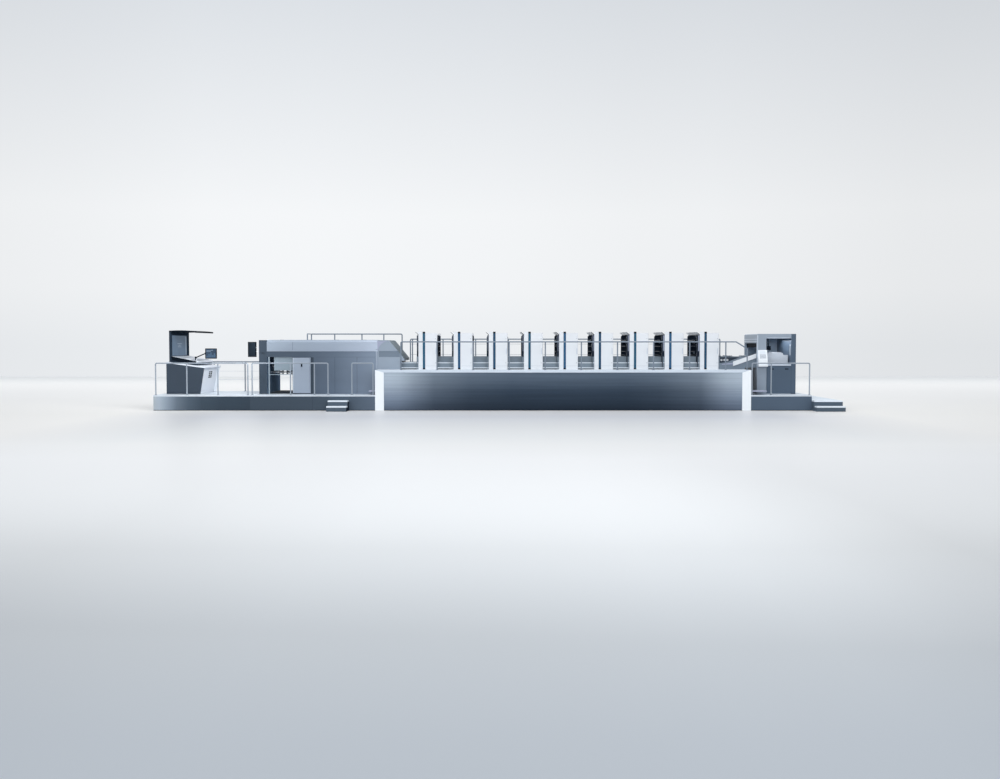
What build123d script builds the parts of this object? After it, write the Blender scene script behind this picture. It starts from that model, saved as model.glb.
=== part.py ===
"""Sheet-fed offset printing press with nine printing units, delivery, feeder and control console.

Millimetres. X runs along the press from delivery to feeder, Y away from the operator side, Z up.
The origin lies on the floor, at the centre of the footprint.
"""

import os
from math import cos, radians, sin

from build123d import *

# Platform stations along the press
console_bay_length = 3190
delivery_bay_length = 4140
feed_length = 884
feeder_steps_width = 930

# Depths, counted from the front edge of the platform
step_going = 300
machine_setback = 800
machine_depth = 2150
rear_margin = 150
gallery_depth = 950
unit_depth = 2070
rear_walk = 710

# Platform and gallery heights
deck_height = 510
deck_plate = 45
step_rise = 170
tread_plate = 40
kick_rise = 140
kick_setback = 150
kick_gap = 50
delivery_kick = 230
feeder_kick = 560
gallery_height = 1340
gallery_plate = 40
gallery_column = 290
gallery_frame_depth = 120
gallery_band = 85
panel_recess = 25

# Flight of steps at the delivery
delivery_steps_lead = 870
delivery_steps_width = 650

# Printing units
unit_count = 9
unit_pitch = 1193
first_stripe_offset = 1552
stripe_width = 80
stripe_depth = 18
stripe_reveal = 4
stripe_rise = 45
cover_left = 150
cover_right = 410
cover_thickness = 60
cover_round = 22
cover_rise = 1230
unit_rise = 1170
unit_flank = 55
operator_housing = 480
side_plate = 80
plate_corner = 40
bed_rise = 110
cylinder_radius = 135
plate_shift = 120
form_roller_radius = 42
form_rollers = 4
form_angle = 15
drum_radius = 78
rider_radius = 48
duct_roller_radius = 60
roller_gap = 4
guard_sheet = 14
guard_reach = 190
guard_rise = 95
duct_angle = 30
duct_margin = 30
duct_wall = 130
duct_drop = 20

# Steps between the units
bridge_rise = 430
bridge_setback = 400
gap_step_rise = 60
gap_step_next = 230
gap_step_going = 200
gap_tread_plate = 25

# Rails
rail_diameter = 42
knee_diameter = 8
rail_bend = 45
rail_inset = 50
rail_end = 70
platform_rail_rise = 1074
knee_rises = (417, 717)
console_posts = (70, 1100, 2130)
rear_posts = (100, 1200, 2310)
delivery_posts = (1240, 450, 0)
flight_gap = 40
gallery_end_gap = 100
feeder_posts = (40, 670)
gallery_rail_rise = 950
post_before_stripe = 697
rail_dip = ((430, 0), (200, 140), (60, 230))
rear_rail_rise = 1060
rear_knee_drop = 180
rear_knee_rise = 480
rear_rail_end = 260
rear_twin_post = 75
roof_rail_rise = 246
roof_rail_start = 2590
roof_rail_return = 800
roof_posts = (830, 1800, 2580)
roof_rail_overrun = 640

# Delivery
delivery_lead = 130
end_frame_width = 270
end_frame_round = 15
slot_size = (130, 40, 35)
slot_rise = 1360
pile_bay_width = 860
beam_rise = 1250
band_rise = 1440
delivery_rise = 1820
top_bevel = 70
band_lip = 15
band_lip_height = 45
hood_flat = 380
hood_reach = 890
hood_foot = 750
hood_clearance = 60
hood_lip = 80
hood_round = 80
hood_recess = 15
hood_recess_low = 420
hood_recess_height = 200
hood_margin = 40
door_gap = 20
door_low_gap = 30
door_width = 560
door_thickness = 40
door_clearance = 5
hinge_radius = 16
hinge_pin = 8
hinge_plate = 16
running_clearance = 0.3
curtain_width = 630
curtain_drop = 457
curtain_sheet = 20
curtain_setback = 50
barrier_post = 40
barrier_lead = 50
barrier_bar = 22
barrier_bar_rise = 645
pile_board = 45
pile_board_margin = 40
pile_board_inset = 260
shaft_setback = 480
shaft_rise = 730
shaft_radius = 20
disc_radius = 46
disc_width = 34
disc_places = (590, 500, 230, 110)
display_size = (270, 120, 510)
display_round = 12
display_reach = 110
display_setback = 40
display_arm = 25
display_arm_rises = (170, 300)

# Feeder
feeder_gap = 380
feeder_margin = 310
feeder_length = 1320
feeder_depth = 1900
feeder_rise = 2030
feeder_plate = 60
feeder_round = 45
feeder_lintel = 155
feeder_column_width = 170
feeder_pillar = 310
sill_rise = 1010
entry_margin = 120
entry_gap = 30
entry_drop = 155
suction_head = (185, 1200, 135)
head_setback = 55
head_clearance = 105
head_drop = 255
head_hanger = 60
pile_margin = 40
pile_inset = 260
pile_step = 65
pile_step_width = 170
lower_panel = 14
lower_panel_low = 25
lower_panel_margin = 15
lower_panel_gap = 60
panel_width = 300
panel_inset = 20
panel_foot_rise = 930
panel_shelf = 190
panel_shelf_height = 60
panel_reach = 150
panel_knee_rise = 1150
panel_top_reach = 40
panel_top_rise = 1485
table_rise = 420
table_overhang = 60
board_sheet = 40
board_low = 113
board_run = 780
board_slope = 271
board_height = 150

# Console
console_margin = 190
console_length = 1270
console_depth = 2100
console_rear_rise = 1047
console_front_rise = 880
console_undercut = 140
side_panel = 60
front_recess = 90
front_sheet = 20
shell = 45
shell_nose = 20
vent_rows = 4
vent_pitch = 60
vent_height = 28
vent_length = 170
vent_gap = 50
vent_rise = 530
vent_setback = 1260
screen_lead = 105
screen_frame = 60
screen_bezel = 70
screen_recess = 8
screen_rise = 2090
desk_gap = 10
desk_length = 845
desk_sheet = 50
desk_nose = 22
desk_rear_lift = 206
desk_front_lift = 144
wedge_inset = 40
wedge_setback = 40
canopy_sheet = 50
canopy_reach = 925
canopy_crown = 8
canopy_drop = 25
swivel_setback = 300
swivel_from_nose = 110
swivel_radius = 30
swivel_stand = 65
swivel_pin = 12
swivel_pin_length = 30
boss_height = 70
arm_plate = 12
arm_rise = 140
arm_reach = 330
arm_radius = 18
monitor_size = (390, 40, 350)
monitor_round = 14

# Stations worked out from the sizes above
frame_left = -stripe_width / 2 - cover_left - unit_flank
frame_right = stripe_width / 2 + cover_right
gallery_length = first_stripe_offset + unit_pitch * (unit_count - 1) + frame_right + feed_length
platform_depth = machine_setback + max(machine_depth, console_depth) + rear_margin
press_depth = gallery_depth + unit_depth + 2 * cover_thickness + rear_walk
steps_front = -press_depth / 2 - step_going
front = steps_front + 2 * step_going
feeder_bay_length = feeder_gap + feeder_length + feeder_margin
x_left = -(console_bay_length + delivery_bay_length + gallery_length + feeder_bay_length
           + feeder_steps_width) / 2
x_seam = x_left + console_bay_length
x_gallery = x_seam + delivery_bay_length
x_feeder = x_gallery + gallery_length
x_steps = x_feeder + feeder_bay_length
x_right = x_steps + feeder_steps_width
deck_under = deck_height - deck_plate
gallery_under = gallery_height - gallery_plate
gallery_front = front + gallery_depth
press_back = front + press_depth
platform_back = front + platform_depth
machine_front = front + machine_setback
machine_back = machine_front + machine_depth
stripes = [x_gallery + first_stripe_offset + unit_pitch * i for i in range(unit_count)]
gap_width = unit_pitch - (frame_right - frame_left)
unit_top = gallery_height + unit_rise
cover_top = gallery_height + cover_rise
frames_front = gallery_front + cover_thickness
frames_back = frames_front + unit_depth
inner_front = frames_front + operator_housing
inner_back = frames_back - side_plate

os.makedirs("parts", exist_ok=True)


def save(builder, name):
    """Label a finished piece and write its file."""
    builder.part.label = name
    export_step(builder.part, f"parts/{name}.step")


def block(x, y, z, mode=Mode.ADD):
    """A box between a low and a high value on each axis."""
    with Locations(((x[0] + x[1]) / 2, (y[0] + y[1]) / 2, (z[0] + z[1]) / 2)):
        Box(x[1] - x[0], y[1] - y[0], z[1] - z[0], mode=mode)


def along_y(points, y, mode=Mode.ADD, rounds=()):
    """An outline in X and Z, extruded from y[0] to y[1]; rounds lists corners and their radii."""
    with BuildSketch(Plane.XZ.offset(-y[1])) as outline:
        with BuildLine():
            Polyline(*points, close=True)
        make_face()
        for corner, radius in rounds:
            fillet(outline.vertices().sort_by_distance(corner)[0], radius)
    extrude(outline.sketch, amount=y[1] - y[0], mode=mode)


def along_x(points, x, mode=Mode.ADD):
    """An outline in Y and Z, extruded from x[0] to x[1]."""
    with BuildSketch(Plane.YZ.offset(x[0])) as outline:
        with BuildLine():
            Polyline(*points, close=True)
        make_face()
    extrude(outline.sketch, amount=x[1] - x[0], mode=mode)


def upright(x, y, z, radius):
    """A round post standing from z[0] to z[1]."""
    with BuildSketch(Plane.XY.offset(z[0])) as section:
        with Locations((x, y)):
            Circle(radius)
    extrude(section.sketch, amount=z[1] - z[0])


def tube(points, radius, bend=0):
    """A round bar along straight runs, with bent corners where bend is given."""
    with BuildLine() as path:
        if bend:
            FilletPolyline(*points, radius=bend)
        else:
            Polyline(*points)
    start = Plane(origin=path.line @ 0, z_dir=path.line % 0)
    with BuildSketch(start) as section:
        Circle(radius)
    sweep(section.sketch, path=path.line)


def rail_panel(posts, y, low, high, knees=()):
    """A guard rail: a bent top tube that ends in two posts, posts between them, and any knee rails."""
    first, last = posts[0], posts[-1]
    tube([(first, y, low), (first, y, high), (last, y, high), (last, y, low)],
         rail_diameter / 2, rail_bend)
    for x in posts[1:-1]:
        upright(x, y, (low, high), rail_diameter / 2)
    for z in knees:
        tube([(first, y, z), (last, y, z)], knee_diameter / 2)


# Platform

with BuildPart() as console_plinth:
    block((x_left, x_seam), (front, platform_back), (0, deck_under))
save(console_plinth, "console_plinth")

with BuildPart() as delivery_plinth:
    block((x_seam, x_gallery), (front, platform_back), (0, deck_under))
save(delivery_plinth, "delivery_plinth")

with BuildPart() as feeder_plinth:
    block((x_feeder, x_steps), (front, platform_back), (0, deck_under))
save(feeder_plinth, "feeder_plinth")

with BuildPart() as platform_decks:
    for ends in ((x_left, x_gallery), (x_feeder, x_steps)):
        block(ends, (front, platform_back), (deck_under, deck_height))
save(platform_decks, "platform_decks")

# Flights of two steps, with plates on the treads

delivery_steps_right = x_gallery - delivery_steps_lead
delivery_flight = (delivery_steps_right - delivery_steps_width, delivery_steps_right)
feeder_flight = (x_steps, x_right)


def flight(x, back):
    """The stepped body of a flight, below its tread plates."""
    lower = step_rise - tread_plate
    upper = 2 * step_rise - tread_plate
    middle = steps_front + step_going
    along_x([(steps_front, 0), (back, 0), (back, upper), (middle, upper), (middle, lower),
             (steps_front, lower)], x)


def flight_treads(x, back):
    """The two tread plates of a flight."""
    middle = steps_front + step_going
    block(x, (steps_front, middle), (step_rise - tread_plate, step_rise))
    block(x, (middle, back), (2 * step_rise - tread_plate, 2 * step_rise))


with BuildPart() as delivery_steps:
    flight(delivery_flight, front)
save(delivery_steps, "delivery_steps")

with BuildPart() as feeder_steps:
    flight(feeder_flight, platform_back)
save(feeder_steps, "feeder_steps")

with BuildPart() as step_treads:
    flight_treads(delivery_flight, front)
    flight_treads(feeder_flight, platform_back)
    kick_z = (deck_height + kick_rise - tread_plate, deck_height + kick_rise)
    kick_y = (front + kick_setback, machine_front - kick_gap)
    block((x_gallery - delivery_kick, x_gallery), kick_y, kick_z)
    block((x_feeder, x_feeder + feeder_kick), kick_y, kick_z)
save(step_treads, "step_treads")

# Press bed and gallery

with BuildPart() as press_base:
    block((x_gallery, x_feeder), (front + gallery_frame_depth, press_back), (0, gallery_under))
save(press_base, "press_base")

inner_left = x_gallery + gallery_column
inner_right = x_feeder - gallery_column

with BuildPart() as gallery_frame:
    along_y([(x_gallery, 0), (inner_left, 0), (inner_left, gallery_height - gallery_band),
             (inner_right, gallery_height - gallery_band), (inner_right, 0), (x_feeder, 0),
             (x_feeder, gallery_height), (x_gallery, gallery_height)],
            (front, front + gallery_frame_depth))
save(gallery_frame, "gallery_frame")

with BuildPart() as gallery_panel:
    block((inner_left, inner_right), (front + panel_recess, front + gallery_frame_depth),
          (0, gallery_height - gallery_band))
save(gallery_panel, "gallery_panel")

with BuildPart() as gallery_deck:
    block((x_gallery, x_feeder), (front + gallery_frame_depth, press_back),
          (gallery_under, gallery_height))
save(gallery_deck, "gallery_deck")

# Printing units: a deep operator-side housing and a side plate on a bed, with the rollers between


def unit_outline(x, corner):
    """The outline of a unit's housing, with its upper corners cut off."""
    left, right = x + frame_left, x + frame_right
    return [(left, gallery_height), (right, gallery_height), (right, unit_top - corner),
            (right - corner, unit_top), (left + corner, unit_top), (left, unit_top - corner)]


for number, x in enumerate(stripes, start=1):
    with BuildPart() as unit:
        along_y(unit_outline(x, plate_corner), (frames_front, inner_front))
        along_y(unit_outline(x, plate_corner), (inner_back, frames_back))
        block((x + frame_left, x + frame_right), (inner_front, inner_back),
              (gallery_height, gallery_height + bed_rise))
    save(unit, f"unit_{number}")

blanket_z = gallery_height + bed_rise + roller_gap + cylinder_radius
plate_rise = ((2 * cylinder_radius + roller_gap) ** 2 - plate_shift ** 2) ** 0.5
form_circle = cylinder_radius + roller_gap + form_roller_radius
drum_rise = form_circle + form_roller_radius + roller_gap + drum_radius
rider_circle = drum_radius + roller_gap + rider_radius
duct_circle = drum_radius + 2 * (roller_gap + rider_radius) + duct_roller_radius

with BuildPart() as unit_rollers:
    for x in stripes:
        middle = x + (frame_left + frame_right) / 2
        plate_x = middle + plate_shift / 2
        plate_z = blanket_z + plate_rise
        with BuildSketch(Plane.XZ.offset(-inner_back)) as rollers:
            with Locations((middle - plate_shift / 2, blanket_z)):
                Circle(cylinder_radius)
            with Locations((plate_x, plate_z)):
                Circle(cylinder_radius)
                with PolarLocations(form_circle, form_rollers, start_angle=form_angle,
                                    angular_range=180 - 2 * form_angle, endpoint=True):
                    Circle(form_roller_radius)
            with Locations((plate_x, plate_z + drum_rise)):
                Circle(drum_radius)
                with PolarLocations(rider_circle, 2, start_angle=duct_angle,
                                    angular_range=180 - 2 * duct_angle, endpoint=True):
                    Circle(rider_radius)
                with PolarLocations(duct_circle, 1, start_angle=180 - duct_angle):
                    Circle(duct_roller_radius)
        extrude(rollers.sketch, amount=inner_back - inner_front)
save(unit_rollers, "unit_rollers")

with BuildPart() as unit_covers:
    for x in stripes:
        left = x - stripe_width / 2 - cover_left
        right = x + stripe_width / 2 + cover_right
        with BuildSketch(Plane.XY.offset(gallery_height)) as plan:
            with Locations(((left + right) / 2, gallery_front + cover_thickness / 2)):
                Rectangle(right - left, cover_thickness)
            fillet(plan.vertices().group_by(Axis.Y)[0], cover_round)
            with Locations((x, gallery_front + stripe_depth / 2)):
                Rectangle(stripe_width + 2 * stripe_reveal, stripe_depth, mode=Mode.SUBTRACT)
        extrude(plan.sketch, amount=cover_rise + stripe_rise)
        block((x + stripe_width / 2 + stripe_reveal, right), (gallery_front, frames_front),
              (cover_top, cover_top + stripe_rise), mode=Mode.SUBTRACT)
save(unit_covers, "unit_covers")

with BuildPart() as unit_stripes:
    for x in stripes:
        block((x - stripe_width / 2, x + stripe_width / 2),
              (gallery_front, gallery_front + stripe_depth),
              (gallery_height, cover_top + stripe_rise))
save(unit_stripes, "unit_stripes")

with BuildPart() as unit_rear_covers:
    for x in stripes:
        block((x - stripe_width / 2 - cover_left, x + stripe_width / 2 + cover_right),
              (frames_back, frames_back + cover_thickness), (gallery_height, cover_top))
save(unit_rear_covers, "unit_rear_covers")

with BuildPart() as unit_guards:
    for x in stripes:
        heel = x + frame_left + plate_corner
        along_y([(heel, unit_top), (heel + guard_reach, unit_top),
                 (heel + guard_reach, unit_top + guard_sheet),
                 (heel + guard_sheet, unit_top + guard_sheet),
                 (heel - guard_rise + guard_sheet, unit_top + guard_rise),
                 (heel - guard_rise, unit_top + guard_rise)], (frames_front, frames_back))
        middle = x + (frame_left + frame_right) / 2
        roller_x = middle + plate_shift / 2 - duct_circle * cos(radians(duct_angle))
        roller_z = blanket_z + plate_rise + drum_rise + duct_circle * sin(radians(duct_angle))
        blade = roller_x - duct_roller_radius - roller_gap
        wall = x + frame_left + duct_margin
        low = roller_z - duct_drop
        along_y([(blade, low), (wall, low), (wall, low + duct_wall), (wall + guard_sheet, low + duct_wall),
                 (wall + guard_sheet, low + guard_sheet), (blade, low + guard_sheet)],
                (inner_front, inner_back))
save(unit_guards, "unit_guards")

# Stepped housings and treads in the gaps between the units

gaps = [(x + frame_left - gap_width, x + frame_left) for x in stripes[1:]]
end_gap = (x_gallery + hood_foot, stripes[0] + frame_left)
first_riser = gallery_front
second_riser = first_riser + gap_step_going
housing_front = gallery_front + bridge_setback
lower_tread = gallery_height + gap_step_rise
upper_tread = gallery_height + gap_step_next
housing_top = gallery_height + bridge_rise

with BuildPart() as unit_bridges:
    for gap in gaps + [end_gap]:
        top = upper_tread if gap == end_gap else housing_top
        along_x([(first_riser, gallery_height), (frames_back, gallery_height),
                 (frames_back, top), (housing_front, top),
                 (housing_front, upper_tread - gap_tread_plate),
                 (second_riser, upper_tread - gap_tread_plate),
                 (second_riser, lower_tread - gap_tread_plate),
                 (first_riser, lower_tread - gap_tread_plate)], gap)
save(unit_bridges, "unit_bridges")

with BuildPart() as gap_treads:
    for gap in gaps + [end_gap]:
        block(gap, (first_riser, second_riser), (lower_tread - gap_tread_plate, lower_tread))
        block(gap, (second_riser, housing_front), (upper_tread - gap_tread_plate, upper_tread))
save(gap_treads, "gap_treads")

# Delivery

beam_height = deck_height + beam_rise
band_height = deck_height + band_rise
delivery_top = deck_height + delivery_rise
delivery_left = x_seam + delivery_lead
bay_left = delivery_left + end_frame_width
bay_right = bay_left + pile_bay_width
door_left = bay_right + door_gap
hinge_x = door_left + door_width + door_clearance + hinge_radius
hinge_y = machine_front - door_clearance - door_thickness / 2
door_low = deck_height + door_low_gap
door_high = beam_height - door_gap

with BuildPart() as delivery_end_frame:
    block((delivery_left, bay_left), (machine_front, machine_back), (deck_height, delivery_top))
    fillet(delivery_end_frame.edges().filter_by(Axis.Z).group_by(Axis.X)[0], end_frame_round)
    slot_x = (delivery_left + bay_left) / 2
    block((slot_x - slot_size[0] / 2, slot_x + slot_size[0] / 2),
          (machine_front, machine_front + slot_size[1]),
          (deck_height + slot_rise, deck_height + slot_rise + slot_size[2]), mode=Mode.SUBTRACT)
save(delivery_end_frame, "delivery_end_frame")

with BuildPart() as delivery_body:
    along_y([(bay_right, deck_height), (x_gallery, deck_height), (x_gallery, band_height),
             (bay_left, band_height), (bay_left, beam_height), (bay_right, beam_height)],
            (machine_front, machine_back))
    for z in (door_low, door_high):
        inner = hinge_plate if z == door_low else -hinge_plate
        plate_z = (min(z, z - inner), max(z, z - inner))
        block((hinge_x - hinge_radius, hinge_x + hinge_radius),
              (hinge_y - hinge_radius, machine_front), plate_z)
        upright(hinge_x, hinge_y, (min(z, z + inner), max(z, z + inner)), hinge_pin)
save(delivery_body, "delivery_body")

with BuildPart() as delivery_door:
    block((door_left, door_left + door_width),
          (hinge_y - door_thickness / 2, hinge_y + door_thickness / 2),
          (door_low + door_clearance, door_high - door_clearance))
    block((door_left + door_width, hinge_x), (hinge_y - hinge_pin, hinge_y + hinge_pin),
          (door_low + door_clearance, door_high - door_clearance))
    upright(hinge_x, hinge_y, (door_low + running_clearance, door_high - running_clearance),
            hinge_radius)
    for z in (door_low, door_high):
        with Locations((hinge_x, hinge_y, z)):
            Cylinder(hinge_pin + running_clearance, 2 * (hinge_plate + running_clearance),
                     mode=Mode.SUBTRACT)
save(delivery_door, "delivery_door")

with BuildPart() as delivery_top_cover:
    lip_top = band_height + band_lip_height
    along_x([(machine_front - band_lip, band_height), (machine_back + band_lip, band_height),
             (machine_back + band_lip, lip_top), (machine_back, lip_top),
             (machine_back, delivery_top - top_bevel), (machine_back - top_bevel, delivery_top),
             (machine_front + top_bevel, delivery_top), (machine_front, delivery_top - top_bevel),
             (machine_front, lip_top), (machine_front - band_lip, lip_top)], (bay_left, x_gallery))
save(delivery_top_cover, "delivery_top_cover")

hood_under = upper_tread + hood_clearance
hood_tip = hood_under + hood_lip


def hood(mode=Mode.ADD):
    """The hood that slopes down to the first unit, with a rounded shoulder."""
    foot, tip = x_gallery + hood_foot, x_gallery + hood_reach
    shoulder = (x_gallery + hood_flat, delivery_top)
    along_y([(x_gallery, gallery_height), (foot, gallery_height), (foot, hood_under),
             (tip, hood_under), (tip, hood_tip), shoulder, (x_gallery, delivery_top)],
            (machine_front, machine_back), mode, [(shoulder, hood_round)])


with BuildPart() as delivery_hood:
    hood()
    recess_z = (gallery_height + hood_recess_low, gallery_height + hood_recess_low + hood_recess_height)
    recess_x = (x_gallery + hood_margin, x_gallery + hood_foot)
    for y in (machine_front, machine_back - hood_recess):
        block(recess_x, (y, y + hood_recess), recess_z, mode=Mode.SUBTRACT)
save(delivery_hood, "delivery_hood")

with BuildPart() as delivery_pile:
    block((bay_left + pile_board_margin, bay_right - pile_board_margin),
          (machine_front + pile_board_inset, machine_back - pile_board_inset),
          (deck_height, deck_height + pile_board))
save(delivery_pile, "delivery_pile")

curtain_front = machine_front + curtain_setback
post_left = bay_left + barrier_lead
bar_low = deck_height + barrier_bar_rise

with BuildPart() as delivery_curtain:
    block((bay_right - curtain_width, bay_right), (curtain_front, curtain_front + curtain_sheet),
          (beam_height - curtain_drop, beam_height))
    block((post_left, post_left + barrier_post), (machine_front, machine_front + barrier_post),
          (deck_height, beam_height))
    block((post_left, bay_right), (machine_front, machine_front + barrier_bar),
          (bar_low, bar_low + barrier_bar))
save(delivery_curtain, "delivery_curtain")

shaft_y = machine_front + shaft_setback
shaft_z = deck_height + shaft_rise

with BuildPart() as delivery_gripper_shaft:
    with BuildSketch(Plane.YZ.offset(bay_left)) as shaft:
        with Locations((shaft_y, shaft_z)):
            Circle(shaft_radius)
    extrude(shaft.sketch, amount=pile_bay_width)
    for place in disc_places:
        with BuildSketch(Plane.YZ.offset(bay_right - place)) as disc:
            with Locations((shaft_y, shaft_z)):
                Circle(disc_radius)
        extrude(disc.sketch, amount=disc_width)
save(delivery_gripper_shaft, "delivery_gripper_shaft")

with BuildPart() as delivery_display:
    display_right = delivery_left - display_reach
    display_front = machine_front + display_setback
    display_y = display_front + display_size[1] / 2
    block((display_right - display_size[0], display_right),
          (display_front, display_front + display_size[1]),
          (beam_height, beam_height + display_size[2]))
    fillet(delivery_display.edges().filter_by(Axis.Z), display_round)
    for rise in display_arm_rises:
        block((display_right, delivery_left), (display_y - display_arm / 2, display_y + display_arm / 2),
              (beam_height + rise, beam_height + rise + display_arm))
save(delivery_display, "delivery_display")

# Feeder

feeder_left = x_feeder + feeder_gap
feeder_right = feeder_left + feeder_length
feeder_back = machine_front + feeder_depth
feeder_top = deck_height + feeder_rise
column_left = feeder_right - feeder_column_width
pillar_right = feeder_left + feeder_pillar
lintel_low = feeder_top - feeder_lintel
table_top = gallery_height + table_rise
entry_low = table_top + entry_gap

with BuildPart() as feeder_frame:
    block((feeder_left, column_left), (machine_front, feeder_back), (deck_height, feeder_top))
    fillet(feeder_frame.edges().filter_by(Axis.Y).group_by(Axis.X)[0].sort_by(Axis.Z)[-1], feeder_round)
    block((feeder_left + feeder_plate, column_left),
          (machine_front + feeder_plate, feeder_back - feeder_plate), (deck_height, lintel_low),
          mode=Mode.SUBTRACT)
    block((pillar_right, column_left), (machine_front, machine_front + feeder_plate),
          (deck_height + sill_rise, lintel_low), mode=Mode.SUBTRACT)
    block((feeder_left, feeder_left + feeder_plate),
          (machine_front + entry_margin, feeder_back - entry_margin),
          (entry_low, lintel_low - entry_drop), mode=Mode.SUBTRACT)
save(feeder_frame, "feeder_frame")

with BuildPart() as feeder_column:
    block((column_left, feeder_right), (machine_front, feeder_back), (deck_height, feeder_top))
    fillet(feeder_column.edges().filter_by(Axis.Z).group_by(Axis.X)[-1], feeder_round)
save(feeder_column, "feeder_column")

with BuildPart() as feeder_panels:
    for y in (machine_front - lower_panel, feeder_back):
        block((pillar_right + lower_panel_margin, feeder_right - feeder_round - lower_panel_margin),
              (y, y + lower_panel),
              (deck_height + lower_panel_low, deck_height + sill_rise - lower_panel_gap))
save(feeder_panels, "feeder_panels")

head_top = lintel_low - head_drop
head_low = head_top - suction_head[2]
pile_top = head_low - head_clearance

with BuildPart() as feeder_suction_head:
    head_x = (pillar_right + head_setback, pillar_right + head_setback + suction_head[0])
    head_middle = (machine_front + feeder_back) / 2
    head_y = (head_middle - suction_head[1] / 2, head_middle + suction_head[1] / 2)
    block(head_x, head_y, (head_low, head_top))
    for y in (head_y[0] + head_hanger, head_y[1] - 2 * head_hanger):
        block((head_x[0], head_x[0] + head_hanger), (y, y + head_hanger), (head_top, lintel_low))
save(feeder_suction_head, "feeder_suction_head")

with BuildPart() as feeder_pile:
    pile_x = (pillar_right + pile_margin, column_left - pile_margin)
    along_y([(pile_x[0], deck_height), (pile_x[1], deck_height), (pile_x[1], pile_top - pile_step),
             (pile_x[1] - pile_step_width, pile_top - pile_step),
             (pile_x[1] - pile_step_width, pile_top), (pile_x[0], pile_top)],
            (machine_front + pile_inset, feeder_back - pile_inset))
save(feeder_pile, "feeder_pile")

with BuildPart() as feeder_control_panel:
    shelf_low = deck_height + panel_foot_rise
    shelf_top = shelf_low + panel_shelf_height
    along_x([(machine_front, shelf_low), (machine_front, deck_height + panel_top_rise),
             (machine_front - panel_top_reach, deck_height + panel_top_rise),
             (machine_front - panel_reach, deck_height + panel_knee_rise),
             (machine_front - panel_reach, shelf_top), (machine_front - panel_shelf, shelf_top),
             (machine_front - panel_shelf, shelf_low)],
            (feeder_left + panel_inset, feeder_left + panel_inset + panel_width))
save(feeder_control_panel, "feeder_control_panel")

with BuildPart() as feed_table:
    table_left = stripes[-1] + frame_right
    along_y([(table_left, gallery_height), (x_feeder, gallery_height),
             (x_feeder, gallery_height + table_overhang), (feeder_left, gallery_height + table_overhang),
             (feeder_left, table_top), (table_left, table_top)], (gallery_front, feeder_back))
save(feed_table, "feed_table")

with BuildPart() as feed_board:
    board_z = gallery_height + board_low
    board_left = feeder_left - board_run
    along_y([(board_left, board_z), (feeder_left, board_z + board_slope),
             (feeder_left, board_z + board_slope + board_height),
             (board_left, board_z + board_height)], (gallery_front - board_sheet, gallery_front))
save(feed_board, "feed_board")

# Console

console_left = x_left + console_margin
console_right = console_left + console_length
console_foot = console_right - console_undercut
console_rear_height = deck_height + console_rear_rise
console_front_height = deck_height + console_front_rise
console_y = (machine_front, machine_front + console_depth)
inner_y = (console_y[0] + side_panel, console_y[1] - side_panel)


def base_top(x):
    """The height of the console's sloping top at x, below its white shell."""
    share = (x - console_left) / console_length
    return console_rear_height + (console_front_height - console_rear_height) * share


def shell_top(x):
    """The height of the top of the white shell at x."""
    return base_top(x) + shell


core_back = front_recess + front_sheet

with BuildPart() as console_base:
    for y in ((console_y[0], inner_y[0]), (inner_y[1], console_y[1])):
        along_y([(console_left, deck_height), (console_foot, deck_height),
                 (console_right, console_front_height), (console_left, console_rear_height)], y)
    along_y([(console_left, deck_height), (console_foot - core_back, deck_height),
             (console_right - core_back, base_top(console_right - core_back)),
             (console_left, console_rear_height)], inner_y)
save(console_base, "console_base")

with BuildPart() as console_front:
    nose = console_right + shell_nose
    along_y([(console_left, base_top(console_left)), (nose, base_top(nose)), (nose, shell_top(nose)),
             (console_left, shell_top(console_left))], console_y,
            rounds=[((nose, shell_top(nose)), shell_nose)])
    along_y([(console_foot - core_back, deck_height), (console_foot - front_recess, deck_height),
             (console_right - front_recess, base_top(console_right - front_recess)),
             (console_right - core_back, base_top(console_right - core_back))], inner_y)
    vent_middle = console_y[0] + vent_setback
    for row in range(vent_rows):
        z = deck_height + vent_rise + row * vent_pitch
        for y in (vent_middle - vent_length - vent_gap / 2, vent_middle + vent_gap / 2):
            block((console_foot - core_back, console_right), (y, y + vent_length), (z, z + vent_height),
                  mode=Mode.SUBTRACT)
save(console_front, "console_front")

screen_x = (console_left + screen_lead, console_left + screen_lead + screen_frame)
screen_high = deck_height + screen_rise
desk_left = screen_x[1] + desk_gap
desk_right = desk_left + desk_length
desk_high = shell_top(desk_left) + desk_rear_lift
desk_low = shell_top(desk_right) + desk_front_lift


def desk_under(x):
    """The height of the desk board's underside at x."""
    return desk_high - desk_sheet - (desk_high - desk_low) * (x - desk_left) / desk_length


swivel_x = desk_right - swivel_from_nose
swivel_y = console_y[0] + swivel_setback
swivel_height = desk_under(swivel_x) + desk_sheet + swivel_stand

with BuildPart() as console_desk:
    along_y([(desk_left, desk_high), (desk_left, desk_high - desk_sheet),
             (desk_right, desk_low - desk_sheet), (desk_right, desk_low)], console_y,
            rounds=[((desk_right, desk_low), desk_nose), ((desk_right, desk_low - desk_sheet), desk_nose)])
    upright(swivel_x, swivel_y, (desk_under(swivel_x) + desk_sheet / 2, swivel_height), swivel_radius)
    upright(swivel_x, swivel_y, (swivel_height, swivel_height + swivel_pin_length), swivel_pin)
save(console_desk, "console_desk")

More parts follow.
